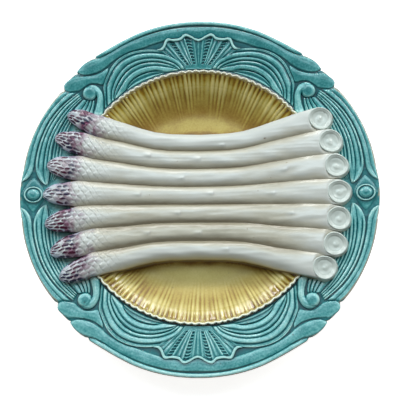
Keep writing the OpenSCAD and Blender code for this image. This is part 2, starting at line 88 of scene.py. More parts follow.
# How far the mouldings end short of the lobed edge
EDGE_GAP = 0.4
Array = np.ndarray
Sheet = tuple[Array, Array, Array]
Marks = dict[str, Array]
Colour = tuple[float, float, float]
Stops = tuple[tuple[float, Colour], ...]
Places = Sequence[tuple[float, float]]
Piece = bpy.types.Object
Socket = bpy.types.NodeSocket
log = logging.getLogger("asparagus_plate")


class Quarter(Enum):
    """A quarter of the border as the photo shows it, with its signs along X and Y."""

    UL = ("ul", -1, 1)
    UR = ("ur", 1, 1)
    LL = ("ll", -1, -1)
    LR = ("lr", 1, -1)

    @property
    def tag(self) -> str:
        """Name of the quarter as the construction model writes it."""
        return self.value[0]

    @property
    def signs(self) -> tuple[int, int]:
        """Signs along X and Y."""
        return self.value[1], self.value[2]


class Side(Enum):
    """The side of the spears on which a well lies."""

    UPPER = ("upper", 1)
    LOWER = ("lower", -1)

    @property
    def tag(self) -> str:
        """Name of the side as the construction model writes it."""
        return self.value[0]

    @property
    def sign(self) -> int:
        """Sign along Y."""
        return self.value[1]


def smooth(t: Array) -> Array:
    """Eased share of t, which is clipped to 0..1."""
    t = np.clip(t, 0.0, 1.0)
    return t * t * (3.0 - 2.0 * t)


def eased(v: Array, table: Places) -> Array:
    """Height shares at v, eased from point to point of a table.

    Args:
        v: Places across a moulding, 0 to 1.
        table: Pairs of place and height share.

    Returns:
        The height shares.
    """
    at = np.array([p[0] for p in table])
    high = np.array([p[1] for p in table])
    i = np.clip(np.searchsorted(at, v, side="right") - 1, 0, len(at) - 2)
    return high[i] + (high[i + 1] - high[i]) * smooth((v - at[i]) / (at[i + 1] - at[i]))


def along(points: Array, t: Array) -> Array:
    """Points at shares t of a smooth curve through a list of plan points."""
    last = len(points) - 1
    i = np.minimum((t * last).astype(int), last - 1)
    u = (t * last - i)[:, None]
    p, q = points[np.maximum(i - 1, 0)], points[i]
    r, s = points[i + 1], points[np.minimum(i + 2, last)]
    return q + ((r - p) * u + (2 * p - 5 * q + 4 * r - s) * u ** 2 + (3 * q - p - 3 * r + s) * u ** 3) / 2


def hand(x: Array, y: Array, pitch: float, seed: int) -> Array:
    """Unevenness of hand-pressed clay, about -1 to 1, in soft waves.

    Args:
        x: Places along X.
        y: Places along Y.
        pitch: Distance from wave to wave.
        seed: Picks the waves.

    Returns:
        The unevenness at each place.
    """
    waves = 7
    rng = np.random.default_rng(seed)
    total = np.zeros_like(x)
    for _ in range(waves):
        turn, phase = rng.uniform(0.0, TURN, 2)
        wave = TURN / (pitch * rng.uniform(0.7, 1.6))
        total += np.sin(wave * (x * math.cos(turn) + y * math.sin(turn)) + phase)
    return total / (waves / 2)


@dataclass(frozen=True)
class Face:
    """The plate's upper face without its mouldings: floor, curved wall, land and border.

    Attributes:
        floor_r: Radius at which the flat floor ends and the wall begins.
        floor_z: Height of the floor.
        land_r: Radius at which the wall ends.
        land_z: Height of the land under the wells' lips.
        border_r: Radius at which the border begins.
        plate_r: Radius of the plate.
        rise: Rise of the border from its inner side to the edge.
        clay: Thickness of the clay.
        wall_curve: Power by which the wall steepens.
    """

    floor_r: float = 56.0
    floor_z: float = 7.5
    land_r: float = 84.2
    land_z: float = 21.5
    border_r: float = 88.0
    plate_r: float = 120.0
    rise: float = 4.5
    clay: float = 4.5
    wall_curve: float = 1.7

    @property
    def border_w(self) -> float:
        """Width of the border."""
        return self.plate_r - self.border_r

    def height(self, x: Array, y: Array) -> Array:
        """Height of the face at plan places."""
        r = np.hypot(x, y)
        wall = np.clip((r - self.floor_r) / (self.land_r - self.floor_r), 0.0, 1.0)
        out = np.maximum(r - self.border_r, 0.0) / self.border_w
        return self.floor_z + (self.land_z - self.floor_z) * wall ** self.wall_curve + self.rise * out

    def at(self, r: float) -> float:
        """Height of the face at one radius."""
        return float(self.height(np.array(r), np.array(0.0)))


FACE = Face()


def on_border(places: Places) -> Array:
    """Plan points for places drawn as degrees and shares of the border's width."""
    turn = np.radians([p[0] for p in places])
    r = FACE.border_r + FACE.border_w * np.array([p[1] for p in places])
    return np.stack([r * np.cos(turn), r * np.sin(turn)], axis=1)


class Finish(Enum):
    """The glazes of the plate, by material slot."""

    TEAL = "teal_glaze"
    WELL = "well_glaze"
    LIP = "lip_glaze"
    WHITE = "white_glaze"
    CUT = "cut_glaze"
    FOOT = "foot"


class Graph:
    """Node tree of one material, or of the room, built step by step."""

    def __init__(self, name: str, room: bool = False) -> None:
        """Starts an empty tree.

        Args:
            name: Name of the new material or world that holds it.
            room: True for a world.
        """
        self.owner = (bpy.data.worlds if room else bpy.data.materials).new(name)
        self.owner.use_nodes = True
        self.tree = self.owner.node_tree
        self.tree.nodes.clear()

    def add(self, kind: str, settings: dict | None = None, **sockets: object) -> bpy.types.Node:
        """Adds a node.

        Args:
            kind: Blender's name of the node type.
            settings: Properties to set on the node.
            **sockets: Value or source socket by input name, with _ for a space.

        Returns:
            The new node.
        """
        node = self.tree.nodes.new(kind)
        for key, value in (settings or {}).items():
            setattr(node, key, value)
        for key, value in sockets.items():
            name = int(key[1:]) if key[0] == "i" and key[1:].isdigit() else key.replace("_", " ")
            socket = node.inputs[name]
            if isinstance(value, Socket):
                self.tree.links.new(value, socket)
            else:
                socket.default_value = value
        return node

    def math(self, operation: str, first: object, second: object = 0.0, clamp: bool = False) -> Socket:
        """Result of an arithmetic node on two values or sockets."""
        settings = {"operation": operation, "use_clamp": clamp}
        return self.add("ShaderNodeMath", settings, i0=first, i1=second).outputs[0]

    def swing(self, value: Socket, depth: float) -> Socket:
        """Noise made to swing round zero, by half of depth each way."""
        return self.math("MULTIPLY", self.math("SUBTRACT", value, 0.5), depth)

    def overlay(self, coarse: Socket, share: float, fine: Socket) -> Socket:
        """Two noises laid over each other, by the share of the coarse one."""
        return self.math("ADD", self.math("MULTIPLY", coarse, share), self.math("MULTIPLY", fine, 1 - share))

    def washed(self, name: str, pitch: float, least: float) -> Socket:
        """Mesh attribute broken up by noise, of which least always stays."""
        cloud = self.math("ADD", self.noise(pitch, 2.0), least)
        return self.math("MULTIPLY", self.attribute(name), cloud, True)

    def attribute(self, name: str) -> Socket:
        """Value of a mesh attribute."""
        return self.add("ShaderNodeAttribute", {"attribute_name": name}).outputs["Fac"]

    def noise(
        self, pitch: float, detail: float = 3.0, stretch: tuple[float, float, float] = (1, 1, 1),
    ) -> Socket:
        """Noise on Object coordinates whose features are about pitch millimetres apart."""
        place = self.add("ShaderNodeTexCoord").outputs["Object"]
        laid = self.add("ShaderNodeMapping", Vector=place, Scale=stretch).outputs[0]
        scale = 1.0 / (pitch * MM)
        return self.add(
            "ShaderNodeTexNoise", Vector=laid, Scale=scale, Detail=detail, Roughness=0.55,
        ).outputs["Fac"]

    def ramp(self, value: Socket, stops: Stops) -> Socket:
        """Colour from a ramp of stops."""
        node = self.add("ShaderNodeValToRGB", Fac=value)
        bar = node.color_ramp
        while len(bar.elements) < len(stops):
            bar.elements.new(0.5)
        for element, (at, colour) in zip(bar.elements, stops):
            element.position = at
            element.color = (*colour, 1.0)
        return node.outputs["Color"]

    def step(self, value: Socket, low: float, high: float) -> Socket:
        """Share that rises from 0 to 1 between two values."""
        return self.ramp(value, ((low, (0, 0, 0)), (high, (1, 1, 1))))

    def mix(self, share: object, first: object, second: object) -> Socket:
        """Colour mixed between two colours or sockets."""
        node = self.add("ShaderNodeMix", {"data_type": "RGBA"})
        for index, value in ((0, share), (6, first), (7, second)):
            if isinstance(value, Socket):
                self.tree.links.new(value, node.inputs[index])
            elif index == 0:
                node.inputs[index].default_value = value
            else:
                node.inputs[index].default_value = (*value, 1.0)
        return node.outputs[2]

    def gloss(
        self, colour: Socket, bump: Socket, depth: float, roughness: object, coat: float, ior: float = 1.5,
    ) -> bpy.types.Material:
        """Ends the tree in a glazed surface.

        Args:
            colour: Base colour socket.
            bump: Height socket of the fine relief.
            depth: Depth of that relief in millimetres.
            roughness: Roughness of the glaze.
            coat: Weight of the clear coat.
            ior: Index of refraction of the glaze.

        Returns:
            The finished material.
        """
        relief = self.add("ShaderNodeBump", Strength=1.0, Distance=depth * MM, Height=bump)
        shader = self.add(
            "ShaderNodeBsdfPrincipled", Base_Color=colour, Roughness=roughness,
            Coat_Weight=coat, Coat_Roughness=0.08, IOR=ior, Normal=relief.outputs[0],
        )
        self.add("ShaderNodeOutputMaterial", Surface=shader.outputs[0])
        return self.owner


def shade(red: int, green: int, blue: int) -> Colour:
    """Linear colour of a shade written in 0..255 steps."""
    def linear(c: float) -> float:
        """Linear value of one channel."""
        return c / 12.92 if c <= 0.04045 else ((c + 0.055) / 1.055) ** 2.4
    return linear(red / 255), linear(green / 255), linear(blue / 255)


def stops(*rows: tuple[float, int, int, int]) -> Stops:
    """Stops of a ramp, each written as its place and its shade in 0..255 steps."""
    return tuple((at, shade(*tone)) for at, *tone in rows)


@dataclass(frozen=True)
class Glaze:
    """A coloured glaze that is pale where it runs thin and dark where it gathers, and that also takes painted
    shade and painted light through the same depth.

    Attributes:
        name: Name of the material.
        thin_to_deep: Its colours from the thinnest to the deepest.
        mottle: How far its clouds move the depth.
        speck: Colour of its small pits.
        speck_share: How strongly they show.
        roughness: Roughness where it is shiny.
        coat: Weight of the clear coat.
        ripple: Depth of its ripples in millimetres.
        ior: Index of refraction.
        dull: Roughness added where it isn't shiny.
        edge: Colour where it is worn, if it is.
    """

    name: str
    thin_to_deep: Stops
    mottle: float = 0.12
    speck: Colour = (0.02, 0.03, 0.03)
    speck_share: float = 0.5
    roughness: float = 0.24
    coat: float = 0.15
    ripple: float = 0.08
    ior: float = 1.5
    dull: float = 0.0
    edge: Colour | None = None

    def mix(self) -> bpy.types.Material:
        """Builds the material."""
        g = Graph(self.name)
        cloud = g.noise(9.0, 4.0)
        fine = g.noise(1.3, 2.0)
        # The depth read here is gathered glaze together with painted shade and painted light.
        depth_with_shade = g.math("ADD", g.attribute("pool_and_shade"), g.attribute("drift"))
        uneven = g.math("MULTIPLY", g.math("SUBTRACT", g.math("ADD", cloud, fine), 1.0), self.mottle)
        colour = g.ramp(g.math("ADD", depth_with_shade, uneven, True), self.thin_to_deep)
        pits = g.math("GREATER_THAN", g.noise(2.6, 0.0), 0.83)
        colour = g.mix(g.math("MULTIPLY", pits, self.speck_share), colour, self.speck)
        if self.edge is not None:
            colour = g.mix(g.attribute("worn"), colour, self.edge)
        wave = g.overlay(g.noise(5.0, 1.0), 0.8, fine)
        roughness = self.roughness
        if self.dull > 0:
            away = g.math("SUBTRACT", 1.0, g.attribute("shine"))
            roughness = g.math("ADD", self.roughness, g.math("MULTIPLY", away, self.dull))
        return g.gloss(colour, wave, self.ripple, roughness, self.coat, self.ior)


@dataclass(frozen=True)
class LipGlaze:
    """The lip's three glazes: ochre that climbs its inner side, a white crest, and dark teal outside."""

    name: str = "lip_glaze"
    ochre: Colour = field(default_factory=lambda: shade(188, 172, 110))
    groove: Colour = field(default_factory=lambda: shade(128, 102, 38))
    crest: Colour = field(default_factory=lambda: shade(252, 251, 230))
    outside: Colour = field(default_factory=lambda: shade(0, 58, 62))

    def mix(self) -> bpy.types.Material:
        """Builds the material."""
        g = Graph(self.name)
        fine = g.noise(1.4, 2.0)
        inner = g.ramp(g.attribute("pool_and_shade"), ((0.35, self.ochre), (0.75, self.groove)))
        across = g.math("ADD", g.attribute("across"), g.swing(fine, 0.16))
        colour = g.mix(g.step(across, 0.24, 0.37), inner, self.crest)
        colour = g.mix(g.step(across, 0.8, 0.88), colour, self.outside)
        return g.gloss(colour, fine, 0.06, 0.16, 0.3)


@dataclass(frozen=True)
class SpearGlaze:
    """White glaze of the spears with painted shade in their grooves, shaded into violet and maroon on the
    scales of the tips.
    """

    name: str = "asparagus_glaze"
    white: Colour = field(default_factory=lambda: shade(207, 208, 201))
    # shallow and hollow are the colours of the painted shade in the spears' grooves.
    shallow: Colour = field(default_factory=lambda: shade(196, 191, 174))
    hollow: Colour = field(default_factory=lambda: shade(150, 140, 118))
    maroon: Colour = field(default_factory=lambda: shade(72, 12, 44))
    plum: Colour = field(default_factory=lambda: shade(112, 40, 80))
    violet: Colour = field(default_factory=lambda: shade(176, 166, 200))
    sky_blue: Colour = field(default_factory=lambda: shade(136, 160, 194))
    ink: Colour = field(default_factory=lambda: shade(34, 34, 62))
    line: Colour = field(default_factory=lambda: shade(140, 128, 142))
    fleck: Colour = field(default_factory=lambda: shade(140, 108, 78))
    rust: Colour = field(default_factory=lambda: shade(112, 74, 40))

    def mix(self) -> bpy.types.Material:
        """Builds the material."""
        g = Graph(self.name)
        cloud = g.noise(14.0, 3.0, (0.3, 1, 1))
        fine = g.noise(1.4, 2.0, (0.25, 1, 1))
        uneven = g.math("ADD", g.swing(cloud, 0.22), g.swing(fine, 0.12))
        # The hollow attribute is painted shade: taupe in the grooves, on the low flanks and on the lower
        # spears.
        deep = g.math("ADD", g.attribute("hollow"), uneven, True)
        colour = g.ramp(deep, ((0.38, self.white), (0.54, self.shallow), (0.76, self.hollow)))
        tinge = g.mix(g.step(g.noise(8.0, 1.0), 0.46, 0.56), self.violet, self.sky_blue)
        colour = g.mix(g.washed("tinge", 5.0, 0.3), colour, tinge)
        colour = g.mix(g.math("MULTIPLY", g.attribute("net"), 0.5), colour, self.line)
        colour = g.mix(g.washed("streak", 4.0, 0.35), colour, self.plum)
        dark = g.mix(g.step(g.noise(9.0, 1.0), 0.44, 0.58), self.maroon, self.ink)
        colour = g.mix(g.attribute("scale"), colour, dark)
        flecks = g.math("MULTIPLY", g.math("GREATER_THAN", g.noise(3.1, 0.0), 0.87), 0.4)
        colour = g.mix(flecks, colour, self.fleck)
        colour = g.mix(g.attribute("rust"), colour, self.rust)
        wave = g.overlay(g.noise(7.0, 2.0, (0.25, 1, 1)), 0.7, fine)
        return g.gloss(colour, wave, 0.16, 0.27, 0.12)


@dataclass(frozen=True)
class BareFoot:
    """Cream glaze at the foot's sides, worn to bare buff clay on the face that it stands on."""

    name: str = "foot_glaze"

    def mix(self) -> bpy.types.Material:
        """Builds the material."""
        g = Graph(self.name)
        place = g.add("ShaderNodeTexCoord").outputs["Object"]
        height = g.add("ShaderNodeSeparateXYZ", Vector=place).outputs["Z"]
        ragged = g.math("SUBTRACT", height, g.math("MULTIPLY", g.noise(4.0), 0.9 * MM))
        bare = g.math("LESS_THAN", ragged, 0.1 * MM)
        clay = g.ramp(g.noise(1.2, 4.0), stops((0.35, 196, 178, 146), (0.65, 214, 200, 172)))
        glaze = g.ramp(g.noise(8.0, 3.0), stops((0.3, 222, 216, 196), (0.7, 236, 232, 216)))
        return g.gloss(g.mix(bare, glaze, clay), g.noise(0.8, 3.0), 0.08, 0.38, 0.2)


@dataclass
class Glazes:
    """All the plate's materials, mixed once."""

    made: dict[str, bpy.types.Material] = field(default_factory=dict)

    def mix_all(self) -> None:
        """Mixes every glaze."""
        recipes: dict[str, Glaze | LipGlaze | SpearGlaze | BareFoot] = {
            Finish.TEAL.value: Glaze(
                "teal_glaze",
                stops(
                    (0.06, 172, 220, 214), (0.25, 118, 188, 187), (0.41, 66, 147, 148), (0.53, 27, 119, 121),
                    (0.7, 0, 98, 104), (0.92, 0, 72, 80),
                ),
                mottle=0.34, edge=shade(176, 166, 144), ior=1.65,
            ),
            Finish.WELL.value: Glaze(
                "ochre_glaze",
                stops(
                    (0.1, 224, 206, 132), (0.36, 199, 180, 96), (0.52, 182, 157, 62), (0.68, 150, 112, 2),
                    (1.0, 90, 58, 0),
                ),
                mottle=0.2, speck=(0.12, 0.08, 0.03), speck_share=0.25, roughness=0.12, coat=0.0, ior=1.75,
                dull=0.43,
            ),
            Finish.LIP.value: LipGlaze(),
            Finish.CUT.value: Glaze(
                "cut_end_glaze",
                stops(
                    (0.3, 202, 209, 201), (0.46, 184, 194, 184), (0.62, 156, 166, 152), (0.85, 116, 124, 104),
                ),
                mottle=0.2, speck_share=0.15,
            ),
            Finish.WHITE.value: SpearGlaze(),
            Finish.FOOT.value: BareFoot(),
            "back": Glaze(
                "back_glaze",
                stops((0.2, 236, 232, 216), (0.6, 226, 220, 200), (1.0, 190, 178, 146)),
                mottle=0.2, speck_share=0.3, edge=shade(168, 156, 130),
            ),
        }
        for key, recipe in recipes.items():
            self.made[key] = recipe.mix()


GLAZES = Glazes()


@dataclass
class Relief:
    """A sheet of clay laid over the plate and closed down to the face under it.

    Attributes:
        name: Name of the piece.
        rows: Facets along the sheet.
        columns: Facets across it.
        shape: Gives x, y and z for the shares along and across.
        sink: Depth by which the underside lies in the clay below.
        under: Height of the clay below at plan places.
        marks: Gives what is painted on the sheet, by the name of each mark.
    """

    name: str
    rows: int
    columns: int
    shape: Callable[[Array, Array], Sheet]
    sink: float = 0.3
    under: Callable[[Array, Array], Array] = FACE.height
    marks: Callable[[Array, Array], Marks] | None = None

    def press(self) -> Piece:
        """Builds the piece's mesh.

        Returns:
            The object, not yet dressed.
        """
        bm = bmesh.new()
        bmesh.ops.create_grid(bm, x_segments=self.rows, y_segments=self.columns, size=0.5)
        flat = np.array([v.co[:2] for v in bm.verts]) + 0.5
        x, y, z = self.shape(flat[:, 0], flat[:, 1])
        for vert, place in zip(bm.verts, np.stack([x, y, z], axis=1)):
            vert.co = place
        for name, values in (self.marks(flat[:, 0], flat[:, 1]) if self.marks else {}).items():
            layer = bm.verts.layers.float.new(name)
            for vert, value in zip(bm.verts, values):
                vert[layer] = value
        bmesh.ops.remove_doubles(bm, verts=bm.verts, dist=0.004)
        bm.normal_update()
        rim = [e for e in bm.edges if e.is_boundary]
        skirt = bmesh.ops.extrude_edge_only(bm, edges=rim)["geom"]
        foot = [v for v in skirt if isinstance(v, bmesh.types.BMVert)]
        fx, fy = (np.array([v.co[i] for v in foot]) for i in (0, 1))
        for vert, low in zip(foot, self.under(fx, fy) - self.sink):
            vert.co.z = min(vert.co.z, low)
        bmesh.ops.holes_fill(bm, edges=[e for e in bm.edges if e.is_boundary], sides=0)
        return finished(self.name, bm)


def finished(name: str, bm: bmesh.types.BMesh) -> Piece:
    """Turns a mesh in millimetres into a smooth object in metres.

    Args:
        name: Name of the object.
        bm: Its mesh, which is freed.

    Returns:
        The object, linked to the scene.
    """
    bmesh.ops.recalc_face_normals(bm, faces=bm.faces)
    bmesh.ops.scale(bm, vec=Vector((MM, MM, MM)), verts=bm.verts)
    mesh = bpy.data.meshes.new(name)
    bm.to_mesh(mesh)
    bm.free()
    mesh.shade_smooth()
    obj = bpy.data.objects.new(name, mesh)
    bpy.context.scene.collection.objects.link(obj)
    return obj


def turned(profile: Places, steps: int, closed: bool, apart: float) -> bmesh.types.BMesh:
    """Turns a profile round the plate's axis, as on a wheel.

    Args:
        profile: Radius and height of each of its points.
        steps: Facets round the axis.
        closed: True where its last point joins its first.
        apart: Points closer than this become one.

    Returns:
        The mesh in millimetres.
    """
    bm = bmesh.new()
    verts = [bm.verts.new((r, 0.0, z)) for r, z in profile]
    after = verts[1:] + verts[:1] if closed else verts[1:]
    edges = [bm.edges.new(pair) for pair in zip(verts, after)]
    bmesh.ops.spin(
        bm, geom=verts + edges, cent=(0, 0, 0), axis=(0, 0, 1), angle=TURN, steps=steps, use_merge=True,
    )
    bmesh.ops.remove_doubles(bm, verts=bm.verts, dist=apart)
    return bm


def polar(places: Array) -> tuple[Array, Array]:
    """Distances from the plate's axis, and angles from the X axis."""
    return np.hypot(places[:, 0], places[:, 1]), np.arctan2(places[:, 1], places[:, 0])


def measured(obj: Piece) -> Array:
    """Places of a piece's points in millimetres."""
    flat = np.empty(len(obj.data.vertices) * 3, dtype=np.float32)
    obj.data.vertices.foreach_get("co", flat)
    return flat.reshape(-1, 3).astype(float) / MM


def store(obj: Piece, name: str, values: Array) -> None:
    """Stores a value on each of a piece's points, for its glaze to read."""
    layer = obj.data.attributes.new(name, "FLOAT", "POINT")
    layer.data.foreach_set("value", values.astype(np.float32))


def dress(obj: Piece, finish: Finish, *nodes: str) -> None:
    """Glazes a piece, fixes it to the plate and hides the nodes that it stands for.

    Args:
        obj: The piece.
        finish: Its glaze.
        *nodes: Nodes of the construction model that it replaces.
    """
    if not obj.data.materials:
        obj.data.materials.append(GLAZES.made[finish.value])
    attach(obj, "root")
    if nodes:
        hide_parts(*nodes)
    log.info("piece %s, %d faces", obj.name, len(obj.data.polygons))


@dataclass
class Studio:
    """Plain pale floor, soft light from the photo's top, and the photo's camera.

    Attributes:
        reach: Distance of the camera from the plate.
        aim: Point that it looks at.
        lean_deg: How far it leans towards the photo's lower side.
        drift_deg: How far it leans towards the photo's right side.
        roll_deg: Turn of the picture.
        lens: Focal length.
    """

    reach: float = 600.0
    aim: tuple[float, float, float] = (1.0, -3.35, 20.0)
    lean_deg: float = 10.44
    drift_deg: float = 2.9
    roll_deg: float = -0.08
    lens: float = 80.8

    def camera(self) -> None:
        """Places the camera at the photo's viewing angle."""
        side, back = math.sin(math.radians(self.drift_deg)), -math.sin(math.radians(self.lean_deg))
        away = Vector((side, back, math.sqrt(1.0 - side ** 2 - back ** 2)))
        place = Vector((0.0, 0.0, self.aim[2])) + away * self.reach
        look = (Vector(self.aim) - place).normalized()
        right = look.cross(Vector((0, 1, 0))).normalized()
        up = right.cross(look)
        cos, sin = math.cos(math.radians(self.roll_deg)), math.sin(math.radians(self.roll_deg))
        right, up = right * cos - up * sin, up * cos + right * sin
        pose = Matrix((right, up, -look)).transposed().to_4x4()
        pose.translation = place * MM
        data = bpy.data.cameras.new("photo_camera")
        data.lens = self.lens
        data.sensor_width = 36.0
        obj = bpy.data.objects.new("photo_camera", data)
        obj.matrix_world = pose
        bpy.context.scene.collection.objects.link(obj)
        bpy.context.scene.camera = obj

    def lamp(
        self, name: str, place: tuple[float, float, float], size: tuple[float, float], watts: float,
        tint: Colour,
    ) -> None:
        """Adds a soft lamp that faces the plate.

        Args:
            name: Name of the lamp.
            place: Its place in metres.
            size: Its width and height in metres.
            watts: Its power.
            tint: Its colour.
        """
        data = bpy.data.lights.new(name, "AREA")
        data.shape = "RECTANGLE"
        data.size, data.size_y = size
        data.energy = watts
        data.color = tint
        obj = bpy.data.objects.new(name, data)
        obj.location = place
        obj.rotation_euler = (-Vector(place)).to_track_quat("-Z", "Y").to_euler()
        bpy.context.scene.collection.objects.link(obj)

    def floor(self) -> None:
        """Lays the floor, which shows white to the camera and keeps the shadow."""
        bm = bmesh.new()
        bmesh.ops.create_grid(bm, x_segments=1, y_segments=1, size=3000.0)
        obj = finished("floor", bm)
        g = Graph("studio_floor")
        paths = g.add("ShaderNodeLightPath").outputs
        seen = g.math("ADD", paths["Is Camera Ray"], paths["Is Glossy Ray"], True)
        matt = g.add("ShaderNodeBsdfDiffuse", Color=(0.8, 0.8, 0.8, 1.0))
        glow = g.add("ShaderNodeEmission", Color=(1, 1, 1, 1), Strength=g.math("MULTIPLY", seen, 0.8))
        both = g.add("ShaderNodeAddShader", i0=matt.outputs[0], i1=glow.outputs[0])
        g.add("ShaderNodeOutputMaterial", Surface=both.outputs[0])
        obj.data.materials.append(g.owner)
        obj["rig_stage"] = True

    def sky(self) -> None:
        """Lights the room softly, brighter on the side of the photo's top."""
        g = Graph("studio_room", room=True)
        place = g.add("ShaderNodeTexCoord").outputs["Generated"]
        height = g.add("ShaderNodeSeparateXYZ", Vector=place).outputs["Y"]
        share = g.add("ShaderNodeMapRange", Value=height, From_Min=-1.0).outputs["Result"]
        walls = g.ramp(share, (
            (0.3, (0.17, 0.16, 0.14)), (0.5, (0.22, 0.22, 0.21)), (0.7, (0.38, 0.44, 0.48)),
            (0.8, (0.36, 0.40, 0.43)), (0.95, (0.30, 0.32, 0.34)),
        ))
        seen = g.add("ShaderNodeLightPath").outputs["Is Camera Ray"]
        light = g.add("ShaderNodeBackground", Color=g.mix(seen, walls, (1.0, 1.0, 1.0)))
        g.add("ShaderNodeOutputWorld", Surface=light.outputs[0])
        bpy.context.scene.world = g.owner

    def set_up(self) -> None:
        """Builds the whole studio."""
        self.camera()
        self.floor()
        self.sky()
        for name, place, watts in (
            ("window_left", (-1.06, 0.98, 0.80), 7.2),
            ("window", (0.06, 1.44, 0.80), 9.4),
            ("window_right", (1.12, 0.92, 0.80), 7.6),
        ):
            self.lamp(name, place, (0.88, 0.26), watts, (0.98, 0.99, 0.98))
        self.lamp("skylight", (0.0, 0.68, 1.28), (1.44, 0.54), 8.7, (0.72, 0.9, 1.0))
        bpy.context.scene.view_settings.view_transform = "Standard"


CREST: Places = ((0, 0.04), (0.26, 0.55), (0.42, 0.94), (0.62, 1), (0.76, 0.78), (0.92, 0.1), (1, 0))


@dataclass
class Wells:
    """The fluted bowl under the spears, with the raised lips round its two wells.

    Attributes:
        flutes: Number of flutes round the whole bowl.
        ridge: Height of the ridges between them.
        swell_h: Rise of the glazed wall over its plain curve.
        teal_from: Radius past which the bowl takes the border's glaze.
        lip_w: Width of the lips.
        lip_h: Height of the lips.
        scallops: Number of scallops that a lip would have round the whole plate.
        bundle_deg: Angle from the X axis at which the spears end a lip.
    """

    flutes: int = 160
    ridge: float = 0.9
    swell_h: float = 1.8
    teal_from: float = 86.2
    lip_w: float = 2.3
    lip_h: float = 3.0
    scallops: int = 104
    bundle_deg: float = 37.2

    def flute(self, turn: Array, r: Array) -> Array:
        """Height of the ridges between the flutes, at angles and radii."""
        wander = 1.2 * np.sin(turn * 11.0) + 0.7 * np.sin(turn * 31.0 + 0.7) + 0.4 * np.sin(turn * 53.0)
        wave = 0.5 + 0.5 * np.cos(turn * self.flutes + wander)
        foot = 57.0 + 4.0 * np.sin(turn * 17.0) + 3.0 * np.sin(turn * 41.0)
        grown = smooth((r - foot) / (FACE.land_r - foot))
        uneven = 0.8 + 0.25 * np.sin(turn * 23.0 + 1.1) + 0.2 * np.sin(turn * 57.0)
        return self.ridge * grown * uneven * wave ** 0.6

    def swell(self, r: Array) -> Array:
        """Rise of the glazed wall over its plain curve, which rounds it over below the lip."""
        return self.swell_h * smooth((r - 58.0) / 19.0) * smooth((85.6 - r) / 8.6)

    def bowl(self) -> Piece:
        """Builds the bowl: a profile spun round, fluted on its upper face."""
        hub = 0.02
        radii = np.concatenate([
            np.linspace(hub, 44, 5), np.linspace(48, FACE.land_r, 26), [85.5, 86.6, 87.4, 88.1],
        ])
        back = (hub, 30.0, 56.0, 62.0, 68.0, 74.0, 80.0, 84.2, 88.1)
        profile = list(zip(radii, FACE.height(radii, 0 * radii)))
        profile += [(r, FACE.at(r) - FACE.clay) for r in reversed(back)]
        bm = turned(profile, self.flutes * 8, False, 0.05)
        co = np.array([v.co[:] for v in bm.verts])
        r, turn = polar(co)
        top = co[:, 2] > FACE.height(co[:, 0], co[:, 1]) - 1.0
        lift = self.flute(turn, r) * np.clip((86.0 - r) / 1.5, 0, 1)
        lift += 0.12 * hand(co[:, 0], co[:, 1], 22.0, 5)
        lift += self.swell(r)
        for vert, rise in zip(bm.verts, np.where(top, lift, 0.0)):
            vert.co.z += rise
        bmesh.ops.holes_fill(bm, edges=[e for e in bm.edges if e.is_boundary], sides=0)
        bmesh.ops.recalc_face_normals(bm, faces=bm.faces)
        for f in bm.faces:
            middle = f.calc_center_median()
            out = math.hypot(middle.x, middle.y)
            under = middle.z < FACE.at(out) - 1.0
            f.material_index = 2 if under else int(out > self.teal_from)
        obj = finished("well_bowl", bm)
        for key in (Finish.WELL.value, Finish.TEAL.value, "back"):
            obj.data.materials.append(GLAZES.made[key])
        place = measured(obj)
        r, turn = polar(place)
        chance = np.sin(np.floor(turn * self.flutes / TURN) * 12.9898) * 43758.5
        run = 60.0 + 14.0 * (chance - np.floor(chance))
        drift = (0.22 * (chance * 7.0 - np.floor(chance * 7.0)) - 0.06) * smooth((r - run) / 9.0)
        drift += 0.05 * smooth((r - 60.0) / 14.0) - 0.07 * smooth((66.0 - r) / 12.0)
        # Painted shade and light: the upper well's floor is darkened and the lower well's floor, which the
        # spears shade, is made paler.
        drift += np.where(place[:, 1] > 0, 0.1, -0.08) * smooth((72.0 - r) / 12.0)
        store(obj, "drift", drift)
        store(obj, "shine", smooth((r - 71.0) / 9.0))
        return obj

    def lip(self, side: Side) -> Piece:
        """Builds the raised lip round one well."""
        lead = math.radians(90.0 - self.bundle_deg)

        def shape(u: Array, v: Array) -> Sheet:
            """Bends the sheet round the well, with a crest scalloped unevenly as by hand."""
            turn = math.pi / 2 + lead * (2 * u - 1)
            uneven = 0.9 * np.sin(turn * 9.0) + 0.5 * np.sin(turn * 23.0)
            bump = np.abs(np.sin(turn * self.scallops / 2 + uneven))
            height = self.lip_h * eased(v, CREST) * (0.82 + 0.18 * bump)
            tuck = 0.4
            r = FACE.land_r - tuck + (self.lip_w + tuck) * v
            r += 1.05 * (bump - 0.62) * smooth(v * 2.2) * (1 - 0.25 * v)
            height += self.flute(turn, r * 0 + FACE.land_r) * (1 - smooth(v / 0.6))
            x, y = r * np.cos(turn), r * np.sin(turn)
            fade = smooth(np.minimum(u, 1 - u) * 30)
            return x, y * side.sign, FACE.land_z + height * (0.3 + 0.7 * fade)

        def marks(u: Array, v: Array) -> Marks:
            """Notes the way across the lip, for the change of glaze."""
            return {"across": v + 0.04 * np.sin(u * 700.0)}

        return Relief(f"well_lip_{side.tag}", 900, 16, shape, marks=marks).press()

    def build(self) -> None:
        """Builds and dresses the wells."""
        dress(self.bowl(), Finish.WELL, "well_bowl", "well_flutes_upper", "well_flutes_lower")
        for side in Side:
            dress(self.lip(side), Finish.LIP, f"well_lip_{side.tag}")


